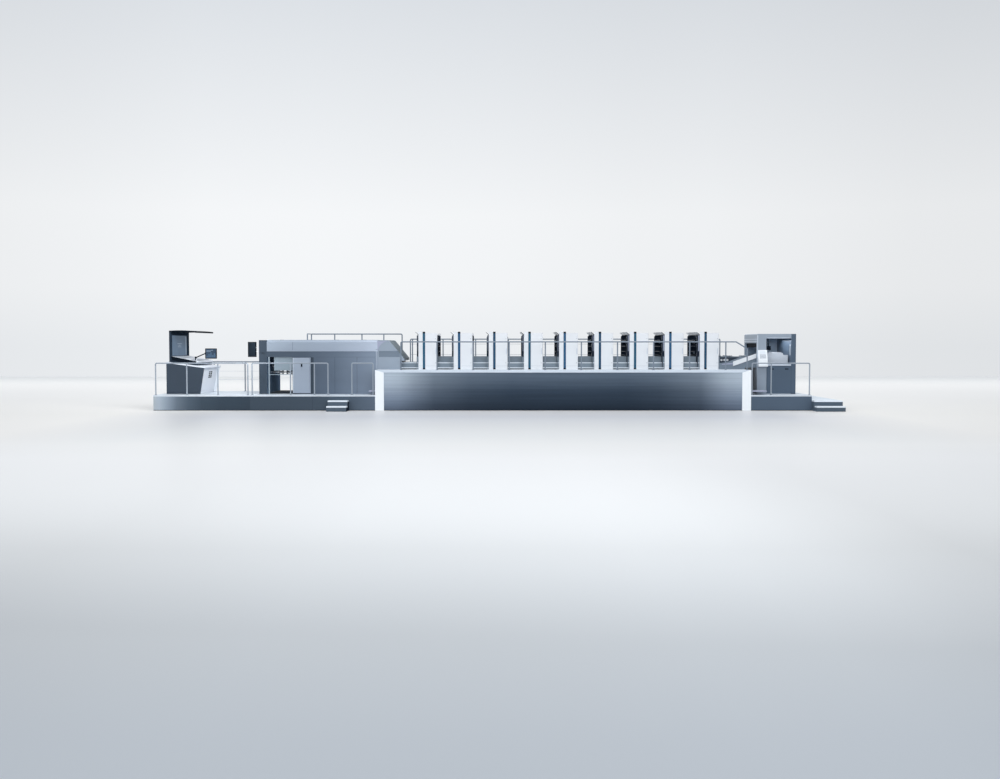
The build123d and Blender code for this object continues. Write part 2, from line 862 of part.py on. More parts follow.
with BuildPart() as console_screen:
    along_y([(screen_x[0], shell_top(screen_x[0])), (screen_x[1], shell_top(screen_x[1])),
             (screen_x[1], screen_high), (screen_x[0], screen_high)], console_y)
    wedge_right = desk_right - wedge_setback
    along_y([(screen_x[1], shell_top(screen_x[1])), (wedge_right, shell_top(wedge_right)),
             (wedge_right, desk_under(wedge_right)), (screen_x[1], desk_under(screen_x[1]))],
            (console_y[0] + wedge_inset, console_y[1] - wedge_inset))
    block((screen_x[1] - screen_recess, screen_x[1]),
          (console_y[0] + screen_bezel, console_y[1] - screen_bezel),
          (desk_high, screen_high - screen_bezel), mode=Mode.SUBTRACT)
save(console_screen, "console_screen")

with BuildPart() as console_canopy:
    canopy_end = (screen_x[0] + canopy_reach, screen_high - canopy_drop)
    canopy_middle = ((screen_x[1] + canopy_end[0]) / 2, screen_high + canopy_crown)
    with BuildSketch(Plane.XZ.offset(-console_y[1])):
        with BuildLine():
            Line((screen_x[0], screen_high), (screen_x[1], screen_high))
            ThreePointArc((screen_x[1], screen_high), canopy_middle, canopy_end)
            Line(canopy_end, (canopy_end[0], canopy_end[1] + canopy_sheet))
            ThreePointArc((canopy_end[0], canopy_end[1] + canopy_sheet),
                          (canopy_middle[0], canopy_middle[1] + canopy_sheet),
                          (screen_x[1], screen_high + canopy_sheet))
            Polyline((screen_x[1], screen_high + canopy_sheet), (screen_x[0], screen_high + canopy_sheet),
                     (screen_x[0], screen_high))
        make_face()
    extrude(amount=console_depth)
save(console_canopy, "console_canopy")

arm_low = swivel_height + boss_height / 2
monitor_left = swivel_x + arm_reach
monitor_middle = arm_low + arm_rise

with BuildPart() as console_monitor_arm:
    upright(swivel_x, swivel_y, (swivel_height + running_clearance, swivel_height + boss_height),
            swivel_radius)
    tube([(swivel_x, swivel_y, arm_low), (monitor_left - arm_plate / 2, swivel_y, monitor_middle)],
         arm_radius)
    block((monitor_left - arm_plate, monitor_left),
          (swivel_y - monitor_size[1] / 2, swivel_y + monitor_size[1] / 2),
          (monitor_middle - 2 * arm_radius, monitor_middle + 2 * arm_radius))
    block((monitor_left, monitor_left + arm_reach), (swivel_y - swivel_radius, swivel_y + swivel_radius),
          (swivel_height, screen_high), mode=Mode.SUBTRACT)
    with Locations((swivel_x, swivel_y, swivel_height)):
        Cylinder(swivel_pin + running_clearance, 2 * (swivel_pin_length + running_clearance),
                 mode=Mode.SUBTRACT)
save(console_monitor_arm, "console_monitor_arm")

with BuildPart() as console_monitor:
    block((monitor_left, monitor_left + monitor_size[0]),
          (swivel_y - monitor_size[1] / 2, swivel_y + monitor_size[1] / 2),
          (monitor_middle - monitor_size[2] / 2, monitor_middle + monitor_size[2] / 2))
    fillet(console_monitor.edges().filter_by(Axis.Y), monitor_round)
save(console_monitor, "console_monitor")

# Guard rails

rail_y = front + rail_inset
platform_rail = deck_height + platform_rail_rise - rail_diameter / 2
delivery_rail_right = delivery_flight[0] - flight_gap
rail_panels = {
    "rail_console": [x_left + post for post in console_posts] + [x_seam - rail_end],
    "rail_delivery": [x_seam + rail_end] + [delivery_rail_right - post for post in delivery_posts],
    "rail_gallery_end": [delivery_flight[1] + gallery_end_gap, x_gallery - rail_end],
    "rail_feeder": [x_feeder + post for post in feeder_posts] + [x_steps - rail_end],
}
for name, posts in rail_panels.items():
    with BuildPart() as panel:
        rail_panel(posts, rail_y, deck_height, platform_rail)
    save(panel, name)

with BuildPart() as rail_rear:
    rear_y = platform_back - rail_inset
    rail_panel([x_left + post for post in rear_posts] + [x_seam - 2 * rail_end], rear_y, deck_height,
               platform_rail, [deck_height + rise for rise in knee_rises])
save(rail_rear, "rail_rear")

first_post = stripes[0] - post_before_stripe
gallery_posts = [first_post + unit_pitch * i for i in range(unit_count + 1)]
gallery_rail = gallery_height + gallery_rail_rise - rail_diameter / 2

with BuildPart() as rail_gallery_front:
    dip = [(x_feeder - rail_end - back, rail_y, gallery_rail - drop) for back, drop in rail_dip]
    tube([(first_post, rail_y, gallery_height), (first_post, rail_y, gallery_rail), *dip,
          (dip[-1][0], rail_y, gallery_height)], rail_diameter / 2, rail_bend)
    for x in gallery_posts[1:]:
        upright(x, rail_y, (gallery_height, gallery_rail), rail_diameter / 2)
save(rail_gallery_front, "rail_gallery_front")

with BuildPart() as rail_gallery_rear:
    rear_rail = gallery_height + rear_rail_rise - rail_diameter / 2
    rear_gallery_posts = [first_post, first_post + rear_twin_post, *gallery_posts[1:],
                          x_feeder - rear_rail_end]
    rail_panel(rear_gallery_posts, press_back - rail_inset, gallery_height, rear_rail,
               (rear_rail - rear_knee_drop, gallery_height + rear_knee_rise))
save(rail_gallery_rear, "rail_gallery_rear")

with BuildPart() as rail_roof:
    roof_y = machine_back - rail_inset - top_bevel
    roof_rail = delivery_top + roof_rail_rise - rail_diameter / 2
    roof_left = x_gallery - roof_rail_start
    roof_right = x_gallery + roof_rail_overrun
    return_y = roof_y - roof_rail_return
    tube([(roof_left, return_y, delivery_top), (roof_left, return_y, roof_rail),
          (roof_left, roof_y, roof_rail), (roof_right, roof_y, roof_rail),
          (roof_right, roof_y, hood_tip)], rail_diameter / 2, rail_bend)
    for x in [roof_left] + [roof_left + post for post in roof_posts]:
        upright(x, roof_y, (delivery_top, roof_rail), rail_diameter / 2)
    hood(Mode.SUBTRACT)
save(rail_roof, "rail_roof")
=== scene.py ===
"""Looks of the offset printing press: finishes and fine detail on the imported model, in metres."""

import math
import random

import bmesh
import bpy
from mathutils import Matrix, Vector


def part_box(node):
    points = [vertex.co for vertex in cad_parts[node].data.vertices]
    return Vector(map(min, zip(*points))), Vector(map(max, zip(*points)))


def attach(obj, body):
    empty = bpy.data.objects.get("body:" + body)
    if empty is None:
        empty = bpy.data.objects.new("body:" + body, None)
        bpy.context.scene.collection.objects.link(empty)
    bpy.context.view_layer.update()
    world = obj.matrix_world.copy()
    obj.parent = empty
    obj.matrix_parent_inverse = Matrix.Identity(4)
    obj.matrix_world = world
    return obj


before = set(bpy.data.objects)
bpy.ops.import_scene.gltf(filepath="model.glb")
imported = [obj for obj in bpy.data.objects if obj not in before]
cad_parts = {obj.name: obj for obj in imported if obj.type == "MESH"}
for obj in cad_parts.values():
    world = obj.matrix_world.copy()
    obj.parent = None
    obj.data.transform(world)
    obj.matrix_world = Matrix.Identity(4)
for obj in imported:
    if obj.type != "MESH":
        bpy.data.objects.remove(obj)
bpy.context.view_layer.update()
random.seed(11)

PRESS = "press"
DOOR = "delivery_door"
MONITOR = "console_monitor"

# Camera, worked out from the photograph's 1000 by 779 frame
IMAGE_WIDTH = 1000
IMAGE_HEIGHT = 779
HORIZON_ROW = 345
FOCAL_PIXELS = 1060
SENSOR_WIDTH = 36.0
CAMERA_X = 0.11
CAMERA_HEIGHT = 2.165
CAMERA_DISTANCE = 35.0

# Sizes that several pieces share
LIFT = 0.002
JOINT = 0.0015
HOUSING_DEPTH = 0.48
REAR_DEPTH = 0.08
POST_APART = 0.03
DISPLAY_WIDTH = 0.27
DESK_RUN, DESK_FALL, DESK_EDGE = 0.845, 0.173, 0.05

# Stage: the floor, where its shading starts, the stretches that are shaded and lit, and the sky
FLOOR_SIDE, FLOOR_FRONT, FLOOR_BACK = 70.0, -60.0, 36.0
SHADE_FRONT, SHADE_HALF, POOL_HALF = -33.0, 12.0, 7.0
SKY_HALF, SKY_STRENGTH = 0.6, 0.97

# A face looks along an axis, or only leans that way, where its normal has more than this on it
FACING, LEANING = 0.9, 0.5
SHARP_ANGLE = math.radians(35)

# Materials


def linear(red, green, blue):
    """A colour of 0 to 255 as the eye sees it, as linear light."""
    def one(value):
        value = value / 255
        return value / 12.92 if value <= 0.04045 else ((value + 0.055) / 1.055) ** 2.4
    return (one(red), one(green), one(blue), 1.0)


def grey(value):
    return (value, value, value, 1.0)


def shade(colour, factor):
    """A colour of 0 to 255 made darker or lighter, as linear light."""
    return tuple(min(1.0, value * factor) for value in linear(*colour)[:3]) + (1.0,)


def tones(*stops):
    """Ramp stops from places and colours of 0 to 255."""
    return [(place, linear(*colour)) for place, colour in stops]


def levels(*stops):
    """Ramp stops from places and grey levels."""
    return [(place, grey(value)) for place, value in stops]


def scene_object(name, data):
    """A new object in the scene."""
    piece = bpy.data.objects.new(name, data)
    bpy.context.scene.collection.objects.link(piece)
    return piece


class Graph:
    """The nodes of one tree, with helpers for textures by place."""

    def __init__(self, tree, space):
        self.nodes = tree.nodes
        self.link = tree.links.new
        self.place = self.add("TexCoord").outputs[space]

    def add(self, kind, **values):
        """A new node with fixed values on its sockets; an underscore stands for a space."""
        node = self.nodes.new("ShaderNode" + kind)
        for socket, value in values.items():
            node.inputs[socket.replace("_", " ")].default_value = value
        return node

    def noise(self, scale, detail, stretch=(1, 1, 1)):
        """Noise by place on the object; stretch makes it longer along an axis where it is small."""
        mapping = self.add("Mapping", Scale=stretch)
        self.link(self.place, mapping.inputs["Vector"])
        node = self.add("TexNoise", Scale=scale, Detail=detail)
        self.link(mapping.outputs["Vector"], node.inputs["Vector"])
        return node.outputs["Fac"]

    def ramp(self, value, stops):
        """A value mapped through stops of (place, colour), in order of place."""
        node = self.add("ValToRGB")
        elements = node.color_ramp.elements
        for index, (place, colour) in enumerate(stops):
            element = elements[index] if index < 2 else elements.new(place)
            element.position = place
            element.color = colour
        self.link(value, node.inputs["Fac"])
        return node.outputs["Color"]

    def cloud(self, value, low, high, colour=None):
        """A noise value spread between two grey levels, or two shades of a colour."""
        ends = [shade(colour, level) if colour else grey(level) for level in (low, high)]
        return self.ramp(value, [(0.3, ends[0]), (0.7, ends[1])])

    def axis(self, name, low, high):
        """The place along an axis, 0 at low and 1 at high."""
        split = self.add("SeparateXYZ")
        self.link(self.place, split.inputs["Vector"])
        node = self.add("MapRange", From_Min=low, From_Max=high)
        self.link(split.outputs[name], node.inputs["Value"])
        return node.outputs["Result"]

    def mix(self, factor, first, second, blend="MIX"):
        """Two colours mixed; each is an output or a fixed colour."""
        node = self.add("Mix")
        node.data_type = "RGBA"
        node.blend_type = blend
        for socket, value in (("Factor", factor), ("A", first), ("B", second)):
            target = [i for i in node.inputs if i.name == socket and i.enabled][0]
            if isinstance(value, bpy.types.NodeSocket):
                self.link(value, target)
            else:
                target.default_value = value
        return [o for o in node.outputs if o.enabled][0]

    def multiply(self, first, second):
        return self.mix(1.0, first, second, "MULTIPLY")


class Surface(Graph):
    """A material on one principled shader."""

    def __init__(self, name, roughness, metallic=0.0, coat=0.0, shine=0.5, glow=0.0):
        self.material = bpy.data.materials.new(name)
        self.material.use_nodes = True
        super().__init__(self.material.node_tree, "Object")
        self.shader = self.nodes["Principled BSDF"]
        for socket, value in (("Roughness", roughness), ("Metallic", metallic), ("Coat Weight", coat),
                              ("Specular IOR Level", shine), ("Coat Roughness", 0.12),
                              ("Emission Strength", glow)):
            self.shader.inputs[socket].default_value = value

    def colour(self, value):
        self.link(value, self.shader.inputs["Base Color"])

    def roughness(self, value):
        self.link(value, self.shader.inputs["Roughness"])

    def scuff(self, roughness):
        """Gloss that drifts a little over the surface."""
        self.roughness(self.cloud(self.noise(2.4, 3.0), roughness - 0.03, roughness + 0.05))

    def bump(self, height, strength, distance=0.001):
        node = self.add("Bump", Strength=strength, Distance=distance)
        self.link(height, node.inputs["Height"])
        self.link(node.outputs["Normal"], self.shader.inputs["Normal"])

    def peel(self, strength):
        """The fine orange-peel bump of a sprayed coat."""
        self.bump(self.noise(420.0, 2.0), strength)


def painted(name, colour, roughness, wear, coat=0.0, peel=0.05, shine=0.4):
    """Powder-coated sheet: faint colour drift, scuffs in the gloss and a fine orange-peel bump."""
    s = Surface(name, roughness, coat=coat, shine=shine)
    s.colour(s.cloud(s.noise(0.9, 4.0), 1 - wear, 1 + wear * 0.5, colour))
    s.scuff(roughness)
    s.peel(peel)
    return s.material


def metal(name, colour, roughness):
    """Turned metal with fine streaks."""
    s = Surface(name, roughness, metallic=1.0)
    streaks = s.noise(90.0, 5.0)
    s.colour(s.cloud(streaks, 0.8, 1.1, colour))
    s.roughness(s.cloud(streaks, roughness - 0.08, roughness + 0.14))
    s.bump(streaks, 0.06)
    return s.material


def panel_with_painted_light():
    """The gallery's front panel: painted shade at the floor, painted highlight to the top and at both ends."""
    low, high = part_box("gallery_panel")
    s = Surface("gallery_panel_painted_light", 0.42, shine=0.12)
    height = s.axis("Z", low.z, high.z)
    # Painted shade at the panel's foot and painted highlight towards its top, mixed in stronger at both ends
    middle = s.ramp(height, tones((0.0, (24, 37, 51)), (0.5, (47, 61, 77)), (0.88, (82, 96, 112)),
                                  (1.0, (90, 104, 120))))
    ends = s.ramp(height, tones((0.0, (92, 104, 122)), (0.14, (102, 115, 133)), (0.33, (126, 140, 158)),
                                (0.5, (142, 155, 171)), (0.7, (167, 180, 194)), (0.92, (179, 192, 204))))
    share = s.ramp(s.axis("X", low.x, high.x), levels(
        (0.0, 1.0), (0.02, 0.99), (0.045, 0.9), (0.085, 0.56), (0.14, 0.22), (0.24, 0.055), (0.36, 0.0),
        (0.68, 0.0), (0.77, 0.05), (0.885, 0.25), (0.955, 0.83), (1.0, 1.0)))
    s.colour(s.multiply(s.mix(share, middle, ends), s.cloud(s.noise(3.0, 5.0, (0.10, 1, 5)), 0.90, 1.09)))
    s.roughness(s.cloud(s.noise(5.0, 6.0), 0.36, 0.5))
    s.peel(0.04)
    return s.material


def painted_light_along(name, node, *stops):
    """Satin paint with painted light: its tone changes along a node from left to right, as light falls on it.
    """
    low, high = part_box(node)
    roughness = 0.44
    s = Surface(name, roughness, shine=0.25)
    tone = s.ramp(s.axis("X", low.x, high.x), tones(*stops))
    s.colour(s.multiply(tone, s.cloud(s.noise(1.2, 5.0, (0.4, 1, 1.6)), 0.94, 1.05)))
    s.scuff(roughness)
    s.peel(0.05)
    return s.material


def ribbed(name, colour, pitch, axis="X"):
    """Rolled deck plate with close ribs across it and walked-on wear."""
    s = Surface(name, 0.5, metallic=0.25)
    wave = s.add("TexWave", Scale=math.pi / (10 * pitch))
    wave.bands_direction = axis
    s.link(s.place, wave.inputs["Vector"])
    worn = s.cloud(s.noise(1.6, 6.0), 0.86, 1.05, colour)
    s.colour(s.multiply(worn, s.ramp(wave.outputs["Fac"], levels((0.0, 0.84), (0.5, 1.0)))))
    s.roughness(s.cloud(s.noise(9.0, 5.0), 0.38, 0.6))
    s.bump(wave.outputs["Fac"], 0.35, 0.004)
    return s.material


def stripes_paint():
    """The units' colour stripes, which go from teal through blue to petrol from unit to unit."""
    low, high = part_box("unit_stripes")
    s = Surface("stripe_paint_satin", 0.38, coat=0.1, shine=0.3)
    shades = ((26, 84, 112), (28, 82, 120), (21, 69, 100))
    last = len(UNITS) - 1
    stops = [(max(0.0, (i - 0.5) / last), shades[i % len(shades)]) for i in range(len(UNITS))]
    colour = s.ramp(s.axis("X", low.x, high.x), tones(*stops))
    colour.node.color_ramp.interpolation = "CONSTANT"
    s.colour(s.multiply(colour, s.cloud(s.noise(2.0, 4.0), 0.92, 1.05)))
    s.peel(0.03)
    return s.material


def layered(name, colour, seam, thickness):
    """A stack of sheets seen on its cut edges, with uneven layers and a darker line between reams."""
    s = Surface(name, 0.85)
    thin = s.noise(1.0 / thickness, 3.0, (0.004, 0.004, 1))
    reams = s.ramp(s.noise(14.0, 1.0, (0.01, 0.01, 1)), levels((0.62, 0.0), (0.68, 0.55)))
    s.colour(s.mix(reams, s.cloud(thin, 0.82, 1.06, colour), linear(*seam)))
    s.bump(thin, 0.3, 0.002)
    return s.material


def rubber(name, colour):
    """Ground roller rubber: matt, with a faint grind along the roller and a trace of ink."""
    s = Surface(name, 0.55)
    grind = s.noise(60.0, 4.0, (1, 0.04, 1))
    s.colour(s.ramp(s.noise(2.5, 5.0), [(0.35, shade(colour, 0.75)), (0.7, shade(colour, 1.35))]))
    s.roughness(s.cloud(grind, 0.35, 0.62))
    s.bump(grind, 0.08)
    return s.material


def lit_screen(name, low_colour, high_colour, strength):
    """A display pane with a soft, uneven glow."""
    s = Surface(name, 0.35, shine=0.08, glow=strength)
    glow = s.ramp(s.noise(1.6, 2.0), tones((0.3, low_colour), (0.7, high_colour)))
    s.colour(glow)
    s.link(glow, s.shader.inputs["Emission Color"])
    return s.material


def glowing(name, colour, strength):
    """A faintly lit mark on a display."""
    s = Surface(name, 0.3, glow=strength)
    s.colour(s.cloud(s.noise(30.0, 2.0), 0.9, 1.1, colour))
    s.shader.inputs["Emission Color"].default_value = linear(*colour)
    return s.material


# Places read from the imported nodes


def spans(node, axis=0):
    """The separate stretches that a node's solids cover along one axis, in order."""
    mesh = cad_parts[node].data
    pairs = []
    for face in mesh.polygons:
        values = [mesh.vertices[i].co[axis] for i in face.vertices]
        pairs.append((min(values), max(values)))
    merged = []
    for low, high in sorted(pairs):
        if merged and low <= merged[-1][1] + 1e-4:
            merged[-1][1] = max(merged[-1][1], high)
        else:
            merged.append([low, high])
    return [tuple(pair) for pair in merged]


def feet(node):
    """The centres of a rail's post feet, at the height that they stand on."""
    points = [v.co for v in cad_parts[node].data.vertices]
    level = min(p.z for p in points)
    groups = []
    for x, y in sorted((p.x, p.y) for p in points if p.z < level + 0.001):
        if not groups or x - groups[-1][-1][0] >= POST_APART:
            groups.append([])
        groups[-1].append((x, y))
    return [Vector((*((min(v) + max(v)) / 2 for v in zip(*group)), level)) for group in groups]


UNITS = [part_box(f"unit_{i}") for i in range(1, 10)]
COVERS = spans("unit_covers")
STRIPES = spans("unit_stripes")

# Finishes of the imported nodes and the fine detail

white = painted("white_powder_coat", (240, 245, 250), 0.36, 0.04, coat=0.1)
cover_white = painted("cover_white_coat", (229, 232, 236), 0.38, 0.04, shine=0.3)
console_white = painted("console_white_coat", (219, 225, 234), 0.42, 0.04, shine=0.2)
frame_white = painted("frame_white_coat", (245, 250, 254), 0.42, 0.03, shine=0.2)
band_white = painted("gallery_band_coat", (208, 219, 231), 0.42, 0.04, shine=0.2)
slate = painted("slate_powder_coat", (76, 90, 104), 0.44, 0.10, shine=0.3)
plinth_slate = painted("plinth_slate_coat", (54, 67, 80), 0.46, 0.08, shine=0.25)
end_slate = painted("end_slate_coat", (59, 71, 84), 0.46, 0.08, shine=0.2)
low_slate = painted("low_slate_powder_coat", (79, 95, 113), 0.44, 0.08, shine=0.25)
bridge_grey = painted("bridge_grey_coat", (133, 147, 159), 0.46, 0.08, shine=0.3)
table_grey = painted("table_grey_coat", (118, 131, 144), 0.46, 0.07, shine=0.3)
# Painted shade: a darker grey for the hood's sloping faces
hood_slope_shade = painted("hood_slope_painted_shade_coat", (79, 97, 108), 0.46, 0.07, shine=0.2)
band_grey = painted("band_grey_coat", (119, 132, 146), 0.46, 0.06, shine=0.2)
feeder_grey = painted("feeder_light_coat", (149, 161, 175), 0.42, 0.06, shine=0.3)
curtain_grey = painted("curtain_grey_sheet", (139, 154, 165), 0.5, 0.06, shine=0.3)
# Painted light: a lighter tone for the delivery end frame's inner faces
bay_wall_painted_light = painted("end_frame_inner_painted_light", (104, 127, 153), 0.6, 0.10, shine=0.0)
feeder_inner = painted("feeder_inner_coat", (148, 165, 184), 0.55, 0.08, shine=0.1)
# Painted light: a near-white copy of the feeder's inner paint for its right inner wall
feeder_right_wall_lit = painted("painted_light_feeder_side_wall", (236, 244, 251), 0.55, 0.06, shine=0.1)
lilac = painted("lilac_powder_coat", (161, 166, 188), 0.40, 0.05)
hood_grey = painted("hood_grey_coat", (150, 162, 176), 0.42, 0.06, shine=0.25)
light = painted("light_powder_coat", (156, 168, 184), 0.38, 0.06, coat=0.1)
pale = painted("pale_powder_coat", (196, 206, 218), 0.36, 0.05, coat=0.1)
dark = painted("dark_powder_coat", (44, 54, 67), 0.52, 0.12, shine=0.22)
housing = painted("housing_black_coat", (36, 46, 60), 0.55, 0.15, shine=0.05)
screen_frame = painted("screen_frame_coat", (46, 57, 70), 0.55, 0.08, shine=0.0)
side_dark = painted("console_side_coat", (56, 67, 80), 0.5, 0.10, shine=0.25)
# Finger-guard paint, also painted shade on the delivery steps' right sides
dark_guard_and_step_shade = painted("guard_and_step_side_shade_coat", (30, 38, 50), 0.6, 0.12, shine=0.0)
black = painted("black_moulding", (17, 24, 33), 0.55, 0.06, peel=0.12, shine=0.02)
seam_dark = painted("joint_line_dark", (52, 62, 75), 0.6, 0.1, shine=0.2)
seam_grey = painted("joint_line_grey", (150, 160, 172), 0.6, 0.08, shine=0.2)
key_grey = painted("key_cap_grey", (140, 152, 167), 0.4, 0.06)
tread_edge = painted("tread_edge_strip", (234, 242, 250), 0.4, 0.04)
rail_tube = painted("rail_tube_paint", (120, 132, 146), 0.34, 0.08, coat=0.1)
rail_pale = painted("rail_pale_paint", (148, 158, 170), 0.34, 0.08, coat=0.1)
knee_wire = painted("knee_wire_pale", (206, 213, 221), 0.4, 0.05)
deck = ribbed("ribbed_deck_plate", (220, 229, 238), 0.022)
tread = ribbed("ribbed_tread_plate", (230, 240, 249), 0.016, "Y")
steel = metal("turned_steel", (190, 194, 200), 0.26)
rubber_dark = rubber("ground_rubber", (100, 116, 132))
paper = layered("blank_sheet_edges", (194, 202, 212), (162, 170, 182), 0.004)
dark_stack = layered("dark_stack_edges", (40, 50, 63), (24, 30, 38), 0.006)
screen_blue = lit_screen("screen_glass_blue", (62, 84, 106), (80, 103, 126), 0.22)
screen_dim = lit_screen("screen_glass_dim", (44, 57, 72), (60, 75, 92), 0.2)
screen_pale = lit_screen("screen_glass_pale", (206, 214, 224), (226, 232, 238), 0.1)
glass_black = lit_screen("display_glass_black", (20, 28, 36), (38, 49, 60), 0.03)
mark_white = glowing("display_mark_white", (128, 146, 166), 0.25)
mark_blue = glowing("display_mark_blue", (56, 82, 106), 0.16)

# Painted light and shade along each part: the console plinth lightest at its left end, the others to the right
console_plinth_lit_tone = painted_light_along(
    "painted_light_console_plinth", "console_plinth", (0.0, (167, 177, 185)), (0.06, (164, 176, 189)),
    (0.14, (136, 150, 164)), (0.24, (98, 111, 125)), (0.36, (72, 86, 100)), (0.5, (54, 68, 81)),
    (0.7, (46, 60, 73)), (1.0, (44, 58, 71)))
delivery_body_lit_tone = painted_light_along(
    "painted_light_delivery_body", "delivery_body", (0.0, (61, 74, 88)), (0.35, (79, 92, 108)), (0.62, (96, 110, 127)),
    (1.0, (133, 147, 165)))
delivery_plinth_lit_tone = painted_light_along(
    "painted_light_delivery_plinth", "delivery_plinth", (0.0, (54, 67, 80)), (0.5, (64, 78, 92)),
    (0.75, (72, 87, 102)), (1.0, (88, 102, 119)))
flank_strip_lit_tone = painted_light_along(
    "painted_light_flank_strip", "unit_covers", (0.0, (62, 70, 84)), (0.45, (82, 90, 106)), (1.0, (158, 166, 186)))
top_cover_lit_tone = painted_light_along(
    "painted_light_delivery_cover", "delivery_top_cover", (0.0, (147, 159, 173)), (0.6, (157, 169, 185)),
    (1.0, (184, 195, 211)))

FINISHES = {
    "console_plinth": console_plinth_lit_tone, "delivery_plinth": delivery_plinth_lit_tone,
    "feeder_plinth": low_slate, "press_base": dark,
    "platform_decks": deck, "gallery_deck": deck, "step_treads": tread, "gap_treads": tread,
    "delivery_steps": slate, "feeder_steps": slate,
    "gallery_frame": frame_white, "gallery_panel": panel_with_painted_light(),
    "unit_covers": cover_white, "unit_rear_covers": cover_white, "unit_stripes": stripes_paint(),
    "unit_rollers": rubber_dark, "unit_guards": dark_guard_and_step_shade, "unit_bridges": bridge_grey,
    "delivery_end_frame": end_slate, "delivery_body": delivery_body_lit_tone, "delivery_door": light,
    "delivery_top_cover": top_cover_lit_tone, "delivery_hood": hood_grey, "delivery_pile": dark_stack,
    "delivery_curtain": curtain_grey, "delivery_gripper_shaft": steel, "delivery_display": black,
    "feeder_frame": feeder_grey, "feeder_column": low_slate, "feeder_panels": low_slate,
    "feeder_suction_head": black, "feeder_pile": paper, "feeder_control_panel": white,
    "feed_table": table_grey, "feed_board": cover_white,
    "console_base": side_dark, "console_front": console_white, "console_desk": console_white,
    "console_screen": screen_frame, "console_canopy": black, "console_monitor_arm": black,
    "console_monitor": black,
    "rail_console": rail_pale, "rail_delivery": rail_pale, "rail_gallery_end": rail_pale,
    "rail_feeder": rail_pale,
}
for name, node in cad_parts.items():
    node.data.materials.clear()
    node.data.materials.append(FINISHES.get(name, rail_tube if name.startswith("rail_") else housing))


def repaint(name, finish, test):
    """Give another finish to the faces of a node that pass a test on where they are and their normal."""
    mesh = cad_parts[name].data
    mesh.materials.append(finish)
    for face in mesh.polygons:
        if test(face.center, face.normal):
            face.material_index = len(mesh.materials) - 1


INSIDE = 0.01
KNEE_REACH = 0.006
KNEE_RISES = (0.417, 0.717)
VENT_RISE, VENT_HEIGHT = 0.52, 0.26
VENT_SETBACK, VENT_WIDTH = 1.05, 0.42
GUARD_RISE, STEEL_RISE = 0.016, 0.275
hood_box, feeder_box, panel_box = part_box("delivery_hood"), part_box("feeder_frame"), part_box("gallery_panel")
deck_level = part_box("platform_decks")[1].z
knee_levels = [deck_level + rise for rise in KNEE_RISES]
guards_low = UNITS[0][1].z + GUARD_RISE
console_low, console_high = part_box("console_base")
vents_low = deck_level + VENT_RISE
vents_near = console_low.y + VENT_SETBACK
screen_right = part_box("delivery_display")[0].x + DISPLAY_WIDTH + INSIDE
steel_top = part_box("unit_rollers")[0].z + STEEL_RISE


def in_feeder(at):
    return all(feeder_box[0][i] + INSIDE < at[i] < feeder_box[1][i] - INSIDE for i in range(3))


def by_vents(at):
    return (vents_low < at.z < vents_low + VENT_HEIGHT and
            vents_near < at.y < vents_near + VENT_WIDTH)


front_reach = max(face.normal.dot(face.center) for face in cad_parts["console_front"].data.polygons
                  if face.normal.x > LEANING and by_vents(face.center))

# Painted shade: the hood's sloping faces darker than its sides
repaint("delivery_hood", hood_slope_shade, lambda at, normal: normal.x > 0.2 and normal.z > 0.2)
repaint("delivery_hood", band_grey, lambda at, normal: abs(normal.y) > FACING and
        hood_box[0].y + INSIDE < at.y < hood_box[1].y - INSIDE)
# Painted light: the end frame's inner faces lighter than its outside, for the light in the delivery bay
repaint("delivery_end_frame", bay_wall_painted_light, lambda at, normal: normal.x > FACING)
repaint("feeder_frame", feeder_inner, lambda at, normal: in_feeder(at))
# Painted light: the feeder's right inner wall near white, as if lit
repaint("feeder_frame", feeder_right_wall_lit, lambda at, normal: in_feeder(at) and normal.x < -FACING and
        at.x > (feeder_box[0].x + feeder_box[1].x) / 2)
# Painted shade: the delivery steps' right sides near black
repaint("delivery_steps", dark_guard_and_step_shade, lambda at, normal: normal.x > FACING)
repaint("step_treads", tread_edge, lambda at, normal: normal.y < -FACING)
repaint("step_treads", lilac, lambda at, normal: at.z > deck_level + INSIDE)
repaint("gallery_frame", band_white, lambda at, normal: normal.y < -FACING and
        panel_box[0].x + 1 < at.x < panel_box[1].x - 1)
repaint("unit_guards", cover_white, lambda at, normal: at.z > guards_low and abs(normal.y) < FACING)
repaint("rail_rear", knee_wire, lambda at, normal:
        any(abs(at.z - level) < KNEE_REACH for level in knee_levels))
repaint("console_desk", black, lambda at, normal: normal.y < -FACING)
repaint("console_base", white, lambda at, normal: at.y > console_high.y - 0.1 and
        (normal.y < -FACING or normal.x > LEANING))
# Painted shade: the walls and backs of the vent slots black, the front face left white
repaint("console_front", black, lambda at, normal: by_vents(at) and
        not (normal.x > LEANING and normal.dot(at) > front_reach - 0.004))
repaint("delivery_display", white, lambda at, normal: at.x > screen_right)
repaint("unit_rollers", steel, lambda at, normal: at.z < steel_top)


# Pieces of fine detail, and the slot that each of their finishes belongs to

SLOTS = {
    "black_plastic": (black, glass_black, screen_blue, mark_white, screen_dim, mark_blue),
    "light_paint": (flank_strip_lit_tone, pale, light, lilac, key_grey),
    "dark_paint": (dark, seam_grey, bridge_grey),
    "machined_steel": (steel,),
    "deck_plate": (tread_edge,),
    "rail_paint": (rail_tube,),
    "slate_paint": (seam_dark, plinth_slate),
    "roller_rubber": (rubber_dark,),
    "paper_stack": (paper,),
    "white_paint": (screen_pale,),
}
PIECES = []


